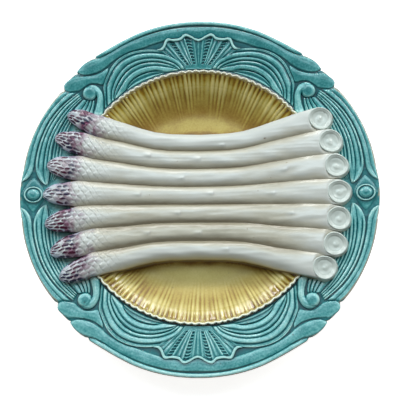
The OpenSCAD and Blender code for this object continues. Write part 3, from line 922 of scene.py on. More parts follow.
EDGE_SHARES: Places = (
    (0, 0.996), (4, 0.994), (7.6, 0.991), (8.1, 0.985), (8.6, 0.991), (15, 0.993), (22, 0.992),
    (28, 0.989), (33, 0.985), (37.2, 0.979), (38.2, 0.969), (38.9, 0.984), (40.2, 0.991),
    (42.5, 0.991), (44.6, 0.988), (45.6, 0.98), (46.4, 0.989), (48.2, 0.998), (50.5, 0.998),
    (52.2, 0.993), (53, 0.985), (53.9, 0.994), (56, 0.992), (59.7, 0.99), (65, 0.992),
    (70, 0.997), (75, 0.999), (80, 1), (85, 1), (90, 1),
)


def edge_radius(turn: Array) -> Array:
    """Radius of the lobed edge at angles from the X axis."""
    fine = np.radians(np.arange(0.0, 360.0, 0.25))
    folded = np.degrees(np.arcsin(np.clip(np.abs(np.sin(fine)), 0, 1)))
    raw = np.interp(folded, [p[0] for p in EDGE_SHARES], [p[1] for p in EDGE_SHARES])
    soft = (np.roll(raw, 1) + raw * 2 + np.roll(raw, -1)) / 4
    return FACE.plate_r * np.interp(turn % TURN, np.append(fine, TURN), np.append(soft, soft[0]))


def drawn_in(x: Array, y: Array) -> tuple[Array, Array]:
    """Draws plan points of the border a little inwards, away from the gutter and the edge."""
    most = 0.9
    r = np.hypot(x, y)
    room = smooth((r - 89.0) / 9.0) * smooth((edge_radius(np.arctan2(y, x)) - EDGE_GAP - r) / 3.0)
    share = 1 - most * room / r
    return x * share, y * share


def edge_share(turn: Array) -> Array:
    """Shares of the border's width at which mouldings end below the lobed edge, at angles."""
    return (edge_radius(turn) - EDGE_GAP - FACE.border_r) / FACE.border_w


@dataclass
class Moulding:
    """One moulding of the border between two drawn curves in the upper right quarter.

    Attributes:
        inner: Plan points of its inner side.
        outer: Plan points of its outer side.
        lift: Height above the border.
        across: Height shares across it.
        rows: Facets along it.
        columns: Facets across it.
        fades: Shares of its length over which its two ends sink.
        least: Share of the height that is left at the ends.
        smooth_to: Profile that it blends into past the place smooth_from, if any.
        worn_from: Place across it past which the glaze is worn to the clay.
    """

    inner: Places | Array
    outer: Places | Array
    lift: float
    across: Places
    rows: int = 120
    columns: int = 24
    fades: tuple[float, float] = (0.12, 0.12)
    least: float = 0.1
    smooth_to: Places | None = None
    smooth_from: float = 0.7
    worn_from: float = 9.0

    def press(self, name: str, quarter: Quarter) -> Piece:
        """Builds the moulding in one quarter."""
        sx, sy = quarter.signs

        def shape(u: Array, v: Array) -> Sheet:
            """Lays the sheet between the two curves."""
            a, b = along(np.array(self.inner), u), along(np.array(self.outer), u)
            p = a + (b - a) * v[:, None]
            high = eased(v, self.across)
            if self.smooth_to is not None:
                share = smooth((u - self.smooth_from) / 0.14)
                high = high * (1 - share) + eased(v, self.smooth_to) * share
            start, end = self.fades
            ends = np.ones_like(u)
            if start > 0:
                ends = ends * np.sqrt(smooth(u / start))
            if end > 0:
                ends = ends * np.sqrt(smooth((1 - u) / end))
            ends = self.least + (1 - self.least) * ends
            x, y = drawn_in(p[:, 0] * sx, p[:, 1] * sy)
            uneven = 0.05 * self.lift * hand(x, y, 9.0, 11)
            return x, y, FACE.height(x, y) + self.lift * high * ends + uneven * ends

        def marks(u: Array, v: Array) -> Marks:
            """Notes where the glaze is worn."""
            return {"worn": smooth((v - self.worn_from) / 0.06)}

        return Relief(f"{name}_{quarter.tag}", self.rows, self.columns, shape, marks=marks).press()


ROUND: Places = ((0, 0), (0.1, 0.6), (0.25, 0.85), (0.5, 1), (0.78, 0.85), (0.92, 0.5), (1, 0))
LIP: Places = ((0, 0), (0.12, 0.72), (0.3, 0.95), (0.55, 1), (0.8, 0.85), (0.94, 0.55), (1, 0.2))
SIDE_LIP: Places = (
    (0, 0), (0.08, 0.75), (0.22, 1), (0.42, 0.95), (0.52, 0.75), (0.58, 0.5), (0.65, 0.72), (0.85, 0.75),
    (0.95, 0.5), (1, 0.2),
)
LEAF: Places = (
    (0, 0), (0.05, 0.6), (0.13, 0.85), (0.35, 0.95), (0.6, 1), (0.86, 0.88), (0.95, 0.6), (1, 0),
)
CRESCENT: Places = (
    (0, 0.3), (0.14, 0.95), (0.26, 0.9), (0.4, 0.35), (0.55, 0.5), (0.8, 0.85), (0.92, 0.6), (1, 0.05),
)
CURL: Places = ((0, 0), (0.12, 0.6), (0.3, 0.85), (0.55, 0.98), (0.8, 1), (1, 0.95))
MIDDLE: Places = (
    (0, 0), (0.08, 0.7), (0.2, 0.95), (0.4, 1), (0.52, 0.8), (0.6, 0.42), (0.68, 0.7), (0.82, 0.82),
    (0.94, 0.6), (1, 0),
)
OUTER: Places = (
    (0, 0.05), (0.05, 0.7), (0.15, 0.88), (0.24, 0.75), (0.285, 0.35), (0.33, 0.75), (0.45, 0.98),
    (0.56, 1), (0.64, 0.85), (0.7, 0.4), (0.75, 0.25), (0.8, 0.45), (0.85, 0.68), (0.89, 0.55),
    (0.93, 0.7), (0.97, 0.55), (1, 0.05),
)
FLUTES: Places = (
    (0, 0.1), (0.07, 0.7), (0.13, 0.85), (0.18, 0.7), (0.225, 0.3), (0.27, 0.75), (0.34, 0.92),
    (0.41, 0.75), (0.46, 0.25), (0.51, 0.8), (0.62, 1), (0.73, 0.8), (0.78, 0.3), (0.83, 0.8),
    (0.89, 0.95), (0.95, 0.75), (1, 0.1),
)
FAN: Places = (
    (0, 0), (0.06, 0.7), (0.14, 0.9), (0.2, 0.15), (0.26, 0.8), (0.36, 0.9), (0.41, 0.15), (0.47, 0.8),
    (0.57, 0.9), (0.62, 0.15), (0.67, 0.8), (0.8, 0.95), (0.92, 0.75), (1, 0),
)
POINTED: Places = (
    (0, 0), (0.07, 0.75), (0.25, 0.95), (0.4, 0.85), (0.46, 0.6), (0.52, 0.85), (0.75, 1), (0.93, 0.75),
    (1, 0),
)
EYE: Places = (
    (0, 1), (0.35, 0.94), (0.6, 0.72), (0.7, 0.4), (0.76, 0.4), (0.85, 0.66), (0.92, 0.58), (1, 0.2),
)
BALL: Places = ((0, 1), (0.45, 0.98), (0.72, 0.9), (0.9, 0.62), (1, 0.1))
UNDER: Places = ((0, 0.1), (0.16, 0.8), (0.32, 0.1), (0.5, 0.85), (0.66, 0.1), (0.83, 0.9), (1, 0))


@dataclass
class Border:
    """The lobed rim with its mouldings, repeated in four mirrored quarters.

    Attributes:
        steps: Facets of the rim round the plate.
        cabochon_x: Distance of the cabochons from the plate's middle.
    """

    steps: int = 1440
    cabochon_x: float = 110.2

    def rim(self) -> Piece:
        """Builds the rim: a profile spun round and drawn out to the lobed edge."""
        profile = [
            (0, 0), (0.12, 0), (0.25, 0), (0.38, 0), (0.5, 0), (0.62, 0), (0.74, 0), (0.85, 0), (0.94, 0),
            (0.985, -0.15), (1, -0.8), (1, -2.6), (0.985, -4.0), (0.95, -4.5), (0.7, -4.5), (0.4, -4.5),
            (0, -4.5),
        ]
        points = [
            (FACE.border_r + share * FACE.border_w, FACE.land_z + FACE.rise * share + drop)
            for share, drop in profile
        ]
        bm = turned(points, self.steps, True, 0.01)
        r, turn = polar(np.array([v.co[:] for v in bm.verts]))
        share = (r - FACE.border_r) / FACE.border_w
        drawn = FACE.border_r + share * (edge_radius(turn) - FACE.border_r)
        for vert, old, new in zip(bm.verts, r, drawn):
            vert.co.x *= new / old
            vert.co.y *= new / old
        for f in bm.faces:
            f.normal_update()
        bmesh.ops.recalc_face_normals(bm, faces=bm.faces)
        for f in bm.faces:
            f.material_index = int(f.normal.z < -0.3)
        obj = finished("rim", bm)
        place = measured(obj)
        r, turn = polar(place)
        rough = 0.35 * hand(place[:, 0], place[:, 1], 6.0, 3)
        store(obj, "worn", smooth((r - edge_radius(turn) + 0.55 + rough) / 0.5))
        for key in (Finish.TEAL.value, "back"):
            obj.data.materials.append(GLAZES.made[key])
        return obj

    def edge_lip(self, side: Side) -> Piece:
        """Builds the lip along the edge across one side, from notch to notch."""
        table = (
            (53.6, 0.93), (55, 0.9), (59, 0.875), (64, 0.885), (70, 0.905), (75, 0.915), (80, 0.925),
            (90, 0.925),
        )
        notch = table[0][0]

        def shape(u: Array, v: Array) -> Sheet:
            """Lays the sheet along the edge."""
            degrees = notch + (180 - 2 * notch) * u
            folded = np.minimum(degrees, 180 - degrees)
            inner = np.interp(folded, [p[0] for p in table], [p[1] for p in table])
            outer = edge_share(np.radians(folded))
            r = FACE.border_r + FACE.border_w * (inner + (outer - inner) * v)
            x, y = drawn_in(r * np.cos(np.radians(degrees)), r * np.sin(np.radians(degrees)) * side.sign)
            ends = smooth(np.minimum(u, 1 - u) * 18)
            return x, y, FACE.height(x, y) + 1.3 * eased(v, LIP) * (0.15 + 0.85 * ends)

        def marks(u: Array, v: Array) -> Marks:
            """Notes the worn line along the very edge."""
            return {"worn": smooth((v - 0.88 - 0.06 * np.sin(u * 90.0)) / 0.06)}

        return Relief(f"edge_lip_{side.tag}", 420, 20, shape, marks=marks).press()

    def shell(self, side: Side) -> Piece:
        """Builds the shell: rays, beaded channels and a wavy raised edge."""
        half = on_border((
            (90, 0.635), (88.6, 0.665), (87.4, 0.715), (85.7, 0.765), (84.6, 0.75), (83.6, 0.7),
            (82.4, 0.685), (80.6, 0.692), (79.2, 0.72), (78.2, 0.71), (77.3, 0.64), (76.6, 0.585),
            (75.4, 0.545), (73.9, 0.555),
        ))
        rays, bead_rows = 9.5, 11

        def shape(u: Array, v: Array) -> Sheet:
            """Fans the sheet out from the shell's base."""
            across = 2 * u - 1
            w = np.abs(across)
            edge = along(half, w)
            base = on_border([(90.0 - 5.6 * q, -0.025) for q in w])
            p = base + (edge - base) * (v ** 0.9)[:, None]
            ribs = 0.5 + 0.5 * np.cos(TURN * (w * rays))
            high = 0.42 + 0.22 * ribs * smooth(v * 4)
            beads = 0.5 + 0.5 * np.cos(TURN * bead_rows * v)
            for at, width in ((0.235, 0.075), (0.6, 0.07)):
                channel = smooth((width - np.abs(w - at)) / 0.035)
                channel = channel * smooth((v - 0.04) * 10) * smooth((0.93 - v) * 18)
                high = high * (1 - channel) + channel * (0.02 + 0.42 * beads)
            high = high * (1 - smooth((v - 0.88) / 0.03)) + smooth((v - 0.885) / 0.035)
            high = high * (1 - 0.75 * smooth((v - 0.975) / 0.025)) * (0.5 + 0.5 * smooth((1 - w) * 14))
            x, y = drawn_in(p[:, 0] * np.sign(across + 1e-9), p[:, 1] * side.sign)
            return x, y, FACE.height(x, y) + 2.0 * high

        return Relief(f"shell_{side.tag}", 260, 110, shape).press()

    def boss(
        self, name: str, centre: tuple[float, float], size: tuple[float, float], lift: float, table: Places,
    ) -> Piece:
        """Builds a rounded boss on the border.

        Args:
            name: Name of the piece.
            centre: Plan point of its middle.
            size: Its half length along X and its half width along Y.
            lift: Its height.
            table: Height shares from its middle outwards.

        Returns:
            The object.
        """
        def shape(u: Array, v: Array) -> Sheet:
            """Wraps the sheet round the middle."""
            turn = TURN * u
            x, y = centre[0] + size[0] * v * np.cos(turn), centre[1] + size[1] * v * np.sin(turn)
            return x, y, FACE.height(x, y) + lift * eased(v, table)

        def marks(u: Array, v: Array) -> Marks:
            """Deepens the glaze on the boss."""
            return {"drift": 0.16 * smooth((0.95 - v) / 0.3)}

        return Relief(name, 72, 24, shape, marks=marks).press()

    def collar(self, name: str, sign: int) -> Piece:
        """Builds the pointed collar round a cabochon."""
        def shape(u: Array, v: Array) -> Sheet:
            """Draws the sheet out to four soft points."""
            turn, soft = TURN * u, 1.25
            bend = (np.abs(np.cos(turn)) ** soft + np.abs(np.sin(turn)) ** soft) ** (-1 / soft)
            x = sign * (self.cabochon_x + 8.2 * bend * v * np.cos(turn))
            y = 12.0 * bend * v * np.sin(turn)
            high = eased(v, ((0, 0.9), (0.6, 0.9), (0.8, 0.8), (0.93, 0.5), (1, 0.0)))
            return x, y, FACE.height(x, y) + 0.75 * high

        return Relief(name, 96, 20, shape).press()

    def mouldings(self) -> dict[str, Moulding]:
        """The mouldings of one quarter, by the name of the node that each stands for."""
        middle_groove = [
            (13.2, 86.5), (17.8, 89.6), (24.0, 92.1), (30.0, 93.1), (36.0, 92.8), (42.0, 91.3),
            (47.5, 88.2), (52.0, 83.8), (55.2, 78.5), (57.0, 73.0), (57.6, 69.3), (57.4, 66.0),
        ]
        inner_groove = [
            (22.4, 85.6), (27.0, 86.0), (33.0, 85.7), (39.0, 84.0), (44.2, 80.8), (47.8, 76.6), (49.3, 73.7),
        ]
        flute_groove = [
            (79.6, 66.6), (83.5, 62.6), (87.5, 57.8), (91.3, 52.0), (95.0, 45.2), (97.8, 38.5),
            (99.4, 31.5), (100.1, 25.0), (100.4, 19.0), (100.7, 13.5), (101.4, 9.2), (102.4, 6.4),
        ]
        side_turns = (37.9, 35.3, 32.0, 28.3, 24.2, 20.0, 16.0, 12.6, 9.9, 8.9, 6.8, 4.3)
        return {
            "side_lip": Moulding(
                [
                    (83.6, 71.4), (88.4, 66.9), (93.9, 61.8), (98.9, 55.7), (103.4, 48.4), (106.9, 40.2),
                    (109.4, 31.6), (110.7, 24.6), (111.4, 19.0), (112.6, 14.5), (115.2, 10.8),
                    (118.4, 8.4),
                ],
                on_border(list(zip(side_turns, edge_share(np.radians(side_turns))))),
                1.3, SIDE_LIP, 160, 24, (0.05, 0.05), worn_from=0.86,
            ),
            "long_leaf": Moulding(
                [
                    (0.0, 107.5), (8.0, 110.5), (14.0, 108.6), (21.0, 108.3), (26.0, 106.6), (33.0, 104.4),
                    (40.0, 101.7), (46.0, 100.2), (51.0, 98.0), (56.0, 95.0), (60.2, 92.0), (63.0, 89.2),
                    (67.5, 86.2), (73.0, 84.0), (78.0, 83.3), (82.6, 83.9),
                ],
                [
                    (0.0, 117.0), (8.0, 116.8), (14.0, 116.4), (20.0, 115.5), (26.0, 114.4), (33.0, 112.5),
                    (40.0, 110.1), (46.5, 107.3), (53.0, 104.0), (59.0, 100.3), (64.5, 97.0), (70.5, 94.2),
                    (74.5, 92.8), (78.2, 90.6), (81.2, 87.6), (83.0, 84.8),
                ], 1.1, LEAF, 240, 26, (0.0, 0.04), worn_from=0.95,
            ),
            "short_leaf": Moulding(
                [
                    (62.0, 86.6), (63.8, 82.2), (65.9, 77.0), (70.2, 77.5), (74.6, 77.2), (78.9, 74.4),
                    (81.6, 72.3), (86.0, 71.4), (89.3, 71.3), (91.2, 72.4),
                ],
                [
                    (62.2, 88.9), (64.5, 87.4), (68.0, 85.3), (72.0, 83.7), (76.5, 82.8), (81.0, 82.5),
                    (84.5, 82.0), (87.8, 79.8), (90.7, 77.2), (91.8, 75.0),
                ], 1.1, LEAF, 120, 34, (0.05, 0.06),
            ),
            "scroll": Moulding(
                middle_groove,
                [
                    (7.6, 87.1), (11.6, 94.6), (19.5, 99.6), (28.0, 101.2), (37.0, 101.5), (46.0, 99.8),
                    (53.5, 96.2), (59.3, 90.6), (63.2, 83.0), (65.6, 76.0), (64.6, 67.5), (63.9, 59.6),
                ], 1.7, OUTER, 260, 76, (0.03, 0.02),
            ),
            "scroll_middle": Moulding(
                [
                    (13.9, 86.4), (18.2, 85.6), (23.0, 84.9), (29.0, 86.1), (35.0, 85.4), (40.0, 83.7),
                    (44.6, 80.6), (47.7, 76.8), (49.3, 72.9), (51.9, 70.4), (54.4, 68.4), (56.4, 66.8),
                ],
                middle_groove, 1.6, MIDDLE, 220, 50, (0.04, 0.04),
            ),
            "scroll_crescent": Moulding(
                [
                    (22.6, 84.5), (28.0, 82.9), (34.0, 80.6), (40.0, 77.8), (44.6, 75.2), (46.9, 73.8),
                    (48.8, 72.6),
                ],
                inner_groove, 1.1, CRESCENT, 120, 26, (0.1, 0.1),
            ),
            "volute": Moulding(
                [
                    (68.3, 54.4), (65.2, 56.0), (64.4, 59.5), (64.4, 63.5), (64.7, 67.5), (66.2, 72.0),
                    (68.8, 75.5), (72.4, 77.0), (76.2, 76.0), (79.0, 72.6),
                ],
                [
                    (69.6, 54.6), (71.6, 56.2), (71.0, 59.5), (70.3, 62.5), (70.0, 65.5), (70.2, 68.0),
                    (71.6, 69.4), (73.2, 70.0), (74.2, 70.2), (74.4, 70.2),
                ], 2.3, ROUND, 150, 30, (0.08, 0.0), smooth_to=CURL, smooth_from=0.62,
            ),
            "fan": Moulding(
                [(71.9, 56.6), (71.4, 60.0), (71.1, 63.0), (71.4, 66.5)],
                [(88.6, 56.4), (85.0, 60.6), (82.0, 63.8), (79.4, 66.6)], 1.3, FAN, 50, 70, (0.1, 0.15),
            ),
            "under_flutes": Moulding(
                [
                    (80.0, 60.0), (83.2, 55.5), (86.4, 50.0), (89.3, 43.5), (91.6, 37.0), (93.0, 30.5),
                    (93.8, 24.0), (94.6, 18.0), (96.2, 13.0), (98.8, 9.2),
                ],
                [
                    (84.6, 61.2), (88.4, 56.4), (92.2, 50.4), (95.6, 43.8), (97.9, 37.5), (99.3, 31.0),
                    (99.9, 24.5), (100.2, 18.5), (100.5, 13.2), (101.2, 9.4),
                ], 1.0, UNDER, 140, 40, (0.08, 0.15),
            ),
            "side_flutes": Moulding(
                flute_groove,
                [
                    (82.2, 71.2), (88.0, 66.6), (93.5, 61.5), (98.5, 55.5), (103.0, 48.2), (106.5, 40.0),
                    (109.0, 31.5), (110.3, 24.5), (110.6, 19.0), (109.6, 14.5), (107.0, 9.8), (103.1, 6.5),
                ], 1.6, FLUTES, 220, 90, (0.04, 0.05),
                smooth_to=POINTED, smooth_from=0.68,
            ),
        }

    def build(self) -> None:
        """Builds and dresses the border."""
        dress(self.rim(), Finish.TEAL, "rim")
        for side in Side:
            dress(self.edge_lip(side), Finish.TEAL, f"edge_lip_{side.tag}")
            dress(self.shell(side), Finish.TEAL, f"shell_{side.tag}")
        for tag, sign in (("left", -1), ("right", 1)):
            name = f"cabochon_{tag}"
            dress(self.collar(f"collar_{tag}", sign), Finish.TEAL)
            dress(self.boss(name, (sign * self.cabochon_x, 0.0), (6.5, 5.8), 2.9, EYE), Finish.TEAL, name)
        drawn = self.mouldings()
        for quarter in Quarter:
            sx, sy = quarter.signs
            for name, moulding in drawn.items():
                node = f"{name}_{quarter.tag}"
                nodes = [node] if node in frame["nodes"] else []
                dress(moulding.press(name, quarter), Finish.TEAL, *nodes)
            name = f"volute_ball_{quarter.tag}"
            dress(self.boss(name, (sx * 74.0, sy * 70.0), (4.9, 4.9), 2.7, BALL), Finish.TEAL)


SPREAD: Places = (
    (0, 0), (0.167, 0.03), (0.25, 0.1), (0.333, 0.25), (0.417, 0.44), (0.5, 0.58),
    (0.55, 0.67), (0.633, 0.81), (0.7, 0.94), (0.733, 1), (0.767, 1.14), (0.858, 1.42),
)
HOLLOW: Places = (
    (0, 0.76), (0.35, 0.7), (0.62, 0.74), (0.8, 0.9), (0.91, 1), (0.95, 0.985), (1, 0.88),
)
# Place along X, number of the spear from the middle one, and distance from its middle line
SCARS: tuple[tuple[float, int, float], ...] = (
    (16.7, 3, -3.0), (0.3, 2, 0.4), (-33.0, 2, 1.2), (-10.6, 1, -0.6), (58.0, 1, 0.5), (-39.5, 0, 0.2),
    (9.0, 0, 1.2), (50.0, 0, 0.0), (-13.0, -1, 0.3), (62.0, -1, 1.4), (-33.0, -2, 0.2), (1.2, -2, -0.8),
    (19.0, -3, 0.5),
)


@dataclass
class Rack:
    """The seven spears that lie across the wells, and the bed that carries them.

    Attributes:
        pitch_mid: Distance from spear to spear in the middle.
        pitch_end: Distance from spear to spear at the ends.
        rise: Height of a stalk above the bed.
        groove: Depth of the grooves between the stalks.
        flare: Widening of the pitch at the tips.
        bed_z: Height of the bed's top where it lies on the border.
        dip: Depth of the bed's dip across the wells.
        dip_reach: Distance from the middle at which the dip begins.
        tip_w: Width of a tip before its point.
        point: Length of a tip's point.
        point_h: Height of a tip's very end above the bed.
        end_reach: Radius at which the tips end.
        scaled: Length of the finer half of a spear's sheet, at the tip.
        cut_r: Radius of a cut end.
        cut_h: Height of a cut end's rim above the bed.
        slope: Fall of a cut end's face along X.
        past_cut: How far a stalk reaches round its cut end.
        cut_shifts: Shift of each cut end along X, from the lower spear in the photo to the upper.
        end_shifts: Shift of each tip's end, in the same order.
        dash_growth: Growth of each tip's dark dashes.
        blushes: Share of maroon patches on each tip.
        nets: Share of the net of fine lines behind each tip.
    """

    pitch_mid: float = 12.2
    pitch_end: float = 17.0
    rise: float = 7.0
    groove: float = 3.6
    flare: float = 0.9
    bed_z: float = 24.36
    dip: float = 11.0
    dip_reach: float = 72.0
    tip_w: float = 15.4
    point: float = 21.0
    point_h: float = 2.6
    end_reach: float = 104.8
    scaled: float = 48.0
    cut_r: float = 7.8
    cut_h: float = 5.4
    slope: float = 0.2
    past_cut: float = 4.5
    cut_shifts: tuple[float, ...] = (-0.6, 0.1, -0.7, -0.5, -1.3, -1.2, -1.3)
    end_shifts: tuple[float, ...] = (-1.7, -0.2, 1.1, 1.3, 1.4, 0.9, 0.9)
    dash_growth: tuple[float, ...] = (0.15, 0.25, 0.3, 0.05, 0.08, 0.4, 0.45)
    blushes: tuple[float, ...] = (0.7, 0.85, 0.9, 0.6, 0.6, 0.9, 1.0)
    nets: tuple[float, ...] = (0.3, 0.35, 0.4, 0.3, 0.45, 1.0, 0.6)

    def pitch(self, x: Array) -> Array:
        """Distance from spear to spear at x."""
        share = np.interp(np.abs(x) / FACE.plate_r, [p[0] for p in SPREAD], [p[1] for p in SPREAD])
        flared = np.interp(x / FACE.plate_r, (-0.7, -0.64, -0.58), (1.0, 0.7, 0.0))
        return self.pitch_mid + (self.pitch_end - self.pitch_mid) * share + self.flare * flared

    def reach(self, k: int, radius: float, sign: int) -> float:
        """Distance along X at which spear k comes to a radius, on the side of sign."""
        x = self.dip_reach
        for _ in range(8):
            x = math.sqrt(radius ** 2 - (k * float(self.pitch(np.array(sign * x)))) ** 2)
        return x

    def bed(self, x: Array) -> Array:
        """Height of the bed's top at x, eased where the dip begins."""
        line = np.arange(-150.0, 150.5, 0.5)
        kernel = np.hanning(53)
        dip = np.convolve(np.clip(1 - (line / self.dip_reach) ** 2, 0, 1), kernel / kernel.sum(), mode="same")
        return self.bed_z - self.dip * np.interp(x, line, dip)

    def cut_centre(self, k: int) -> tuple[float, float]:
        """Plan point of the middle of spear k's cut end."""
        x = self.reach(k, FACE.border_r + (0.16 + 0.035 * abs(k)) * FACE.border_w, 1)
        x += self.cut_shifts[k + 3]
        return x, k * float(self.pitch(np.array(x)))

    def lay(self, k: int, u: Array, v: Array) -> Marks:
        """Lays the sheet of spear k out in plan.

        Args:
            k: Number of the spear from the middle one.
            u: Shares along it, from the tip's end.
            v: Shares across it.

        Returns:
            The places x and y, the distance s from the tip's end, the half width and the place t
            across it from -1 to 1.
        """
        end = -self.reach(k, self.end_reach, -1) + self.end_shifts[k + 3]
        cut, _ = self.cut_centre(k)
        plain = cut + self.past_cut - end - self.scaled
        split = 0.46
        beyond = end + self.scaled + plain * (u - split) / (1 - split)
        x = np.where(u < split, end + self.scaled * u / split, beyond)
        t = np.sin((v - 0.5) * math.pi)
        s = x - end
        narrow = np.clip(1 - s / self.point, 0, 1)
        tip = self.tip_w / 2 * (1 - narrow ** 2.6) ** (1 / 1.9) + 0.02
        body = self.pitch(x) / 2 + 0.12 + 0.25 * (1 - smooth((s - 22) / 16))
        near_cut = smooth((cut - 1.5 - x) / 7.0)
        seat = self.cut_r + 0.45
        body = body * near_cut + seat * (1 - near_cut)
        collar = seat - 0.5 * np.clip((x - cut) / self.past_cut, 0, 1)
        round_cut = np.sqrt(np.clip(collar ** 2 - np.maximum(x - cut, 0) ** 2, 1.0, None))
        body = np.where(x > cut, round_cut, body)
        blend = smooth((s - self.point + 6.0) / 12)
        half = np.minimum(body, tip) * (1 - blend) + body * blend
        y = k * self.pitch(np.minimum(x, cut)) + half * t
        return {"x": x, "y": y, "s": s, "half": half, "t": t, "narrow": narrow}

    def bracts(self, k: int, s: Array, t: Array) -> Marks:
        """Lattice of the bracts on a tip.

        Args:
            k: Number of the spear from the middle one.
            s: Distances from the tip's end.
            t: Places across the spear, -1 to 1.

        Returns:
            Shares p and q of the way over each bract, a chance for each bract, and the distances
            along and across it from its middle, in millimetres.
        """
        row = s / 4.8 + 0.37 * k + 0.09 * np.sin(s * 0.9 + 3 * t + k) + 0.06 * np.sin(s * 0.37 - 5 * t)
        lane = (2.7 + 0.14 * (k % 3)) * t + 0.29 * k + 0.1 * np.sin(s * 0.6 + k) + 0.3 * s / 20
        p, q = row + lane * 0.5, row - lane * 0.5
        pf, qf = p - np.floor(p), q - np.floor(q)
        chance = np.sin(12.9898 * np.floor(p) + 78.233 * np.floor(q) + 37.7 * k) * 43758.5
        return {
            "p": pf, "q": qf, "chance": chance - np.floor(chance),
            "along": (pf + qf - 1) * 2.4, "across": (pf - qf) * 2.8,
        }

    def scars(self, k: int, x: Array, across: Array, before: float, after: float) -> Array:
        """Small pointed scars along spear k, 0 to 1, long on one side and cut off on the other.

        Args:
            k: Number of the spear from the middle one.
            x: Places along X.
            across: Distances from the spear's middle line.
            before: Reach of a scar towards the tips.
            after: Its reach towards the cut ends.

        Returns:
            The share of a scar at each place.
        """
        share = np.zeros_like(x)
        for at, row, off in SCARS:
            if row == k:
                reach = np.where(x < at, before, after)
                share += np.exp(-(((x - at) / reach) ** 2) - ((across - off) / 1.3) ** 2)
        return share

    def spear(self, k: int) -> Piece:
        """Builds spear k's stalk and scaled tip in one sweep, counted from the middle spear."""
        cut, _ = self.cut_centre(k)

        def shape(u: Array, v: Array) -> Sheet:
            """Lays the sheet along the spear, with its scales and bracts."""
            at = self.lay(k, u, v)
            x, y, s, t = at["x"], at["y"], at["s"], at["t"]
            top = self.point_h + (self.rise - self.point_h) * np.sqrt(1 - at["narrow"] ** 2)
            groove = self.groove * (0.68 - 0.14 * smooth((x - 10.0) / 40.0))
            low = top * (self.rise - groove) / self.rise
            outermost = abs(k) == 3
            outward = np.clip(t * np.sign(k), 0, 1) if outermost else np.zeros_like(t)
            low = low - 3.2 * smooth(outward * 1.6) * smooth((70.0 - np.abs(x)) / 20.0)
            ends = np.maximum(smooth((28.0 - s) / 18.0), smooth((x - cut + 9.0) / 7.0))
            steep = np.maximum(smooth(outward * 4), ends)
            crown = 1 - np.abs(t) ** 4
            behind = smooth((s - 20.0) / 20.0)
            arch = (1 - np.abs(t) ** (2.5 - 0.3 * steep)) ** (1.2 - 0.55 * steep)
            z = self.bed(x) + low + (top - low) * arch
            z += 0.06 * hand(x * 0.12, y * 1.6, 5.0, 60 + k) * crown * behind
            b = self.bracts(k, s, t)
            scaled = smooth((50.0 - s) / 26.0) * smooth(s / 1.5)
            z += 0.7 * scaled * (1 - np.maximum(b["p"], b["q"])) ** 0.8 * crown * (1 - 0.5 * behind)
            z += 0.16 * hand(x * 0.5, y, 9.0, 21 + k) * crown
            z += 0.5 * self.scars(k, x, t * at["half"], 3.6, 0.8)
            disc = self.bed_z + self.cut_h - self.slope * (x - cut)
            under = np.clip((x - (cut - self.cut_r)) / 2.5, 0, 1)
            away = np.hypot(x - cut, t * at["half"]) / self.cut_r
            sunk = 0.25 + 0.75 * under + 1.8 * smooth((0.96 - away) / 0.14)
            z = np.where(under > 0, np.minimum(z, disc - sunk), z)
            if outermost:
                skirt = smooth((outward - 0.93) / 0.07)
                z = z * (1 - skirt) + (FACE.height(x, y) + 0.2) * skirt
                y = y + np.sign(k) * 0.4 * skirt
            return x, y, z

        def marks(u: Array, v: Array) -> Marks:
            """Paints the bracts' dark dashes, the streaks behind them and the violet wash."""
            at = self.lay(k, u, v)
            x, y, s, t = at["x"], at["y"], at["s"], at["t"]
            b = self.bracts(k, s, t)
            bent = b["across"] + 0.09 * b["along"] ** 2
            reach = 20.5 + 4.5 * hand(x, y, 12.0, 40 + k)
            size = 0.98 + 0.5 * b["chance"] ** 2 + self.dash_growth[k + 3]
            dash = 1 - (b["along"] / (2.3 * size)) ** 2 - (bent / (0.74 * size)) ** 2
            scale = smooth(dash * 2.2) * smooth((reach - s) / 6.0)
            scale = scale * smooth((b["chance"] - 0.06) * 8) * smooth(s / 2.0)
            streak = smooth(dash * 1.2 + 0.5) * smooth((reach + 7.0 - s) / 8.0)
            streak = streak * smooth((s - 7.0) / 6.0) * 0.6
            blush = smooth(1.25 - ((s - 15.0) / 6.5) ** 2) * smooth(0.52 + 1.3 * hand(x, y, 7.0, 80 + k))
            streak = np.maximum(streak, blush * self.blushes[k + 3])
            edge = np.minimum(np.minimum(b["p"], 1 - b["p"]), np.minimum(b["q"], 1 - b["q"]))
            faint = self.nets[k + 3] * (0.55 + 0.45 * hand(x, y, 12.0, 70 + k))
            net = (1 - smooth(edge / 0.1)) * smooth((s - 10.0) / 12.0) * smooth((50.0 - s) / 24.0)
            net = net * np.clip(faint, 0, 1) + 0.5 * self.scars(k, x - 1.1, t * at["half"], 0.5, 0.5)
            rim = smooth((np.abs(t) - 0.6) / 0.4) * 0.5 + smooth(1 - s / 9.0) * 0.3
            tinge = np.clip(smooth((reach + 9.0 - s) / 16.0) * (0.28 + rim), 0, 1)
            spot = np.exp(-((x - 44.5) ** 2 + (y - 37.5) ** 2 * 2.5) / 0.5)
            return {"scale": scale, "streak": streak, "net": net, "tinge": tinge, "rust": spot}

        return Relief(f"spear_{k + 4}", 380, 52, shape, marks=marks).press()

    def cut_end(self, k: int) -> Piece:
        """Builds the hollowed, swirled cut end of spear k."""
        cx, cy = self.cut_centre(k)
        face = 0.9

        def swirled(turn: Array, v: Array, depth: float, reach: float) -> Array:
            """Swirl in the hollow, which dies out towards its rim."""
            curl = depth * np.cos(turn - 5.5 * v + 2.2 + 0.5 * k)
            return curl * np.exp(-((v / reach) ** 2)) * smooth(v * 4)

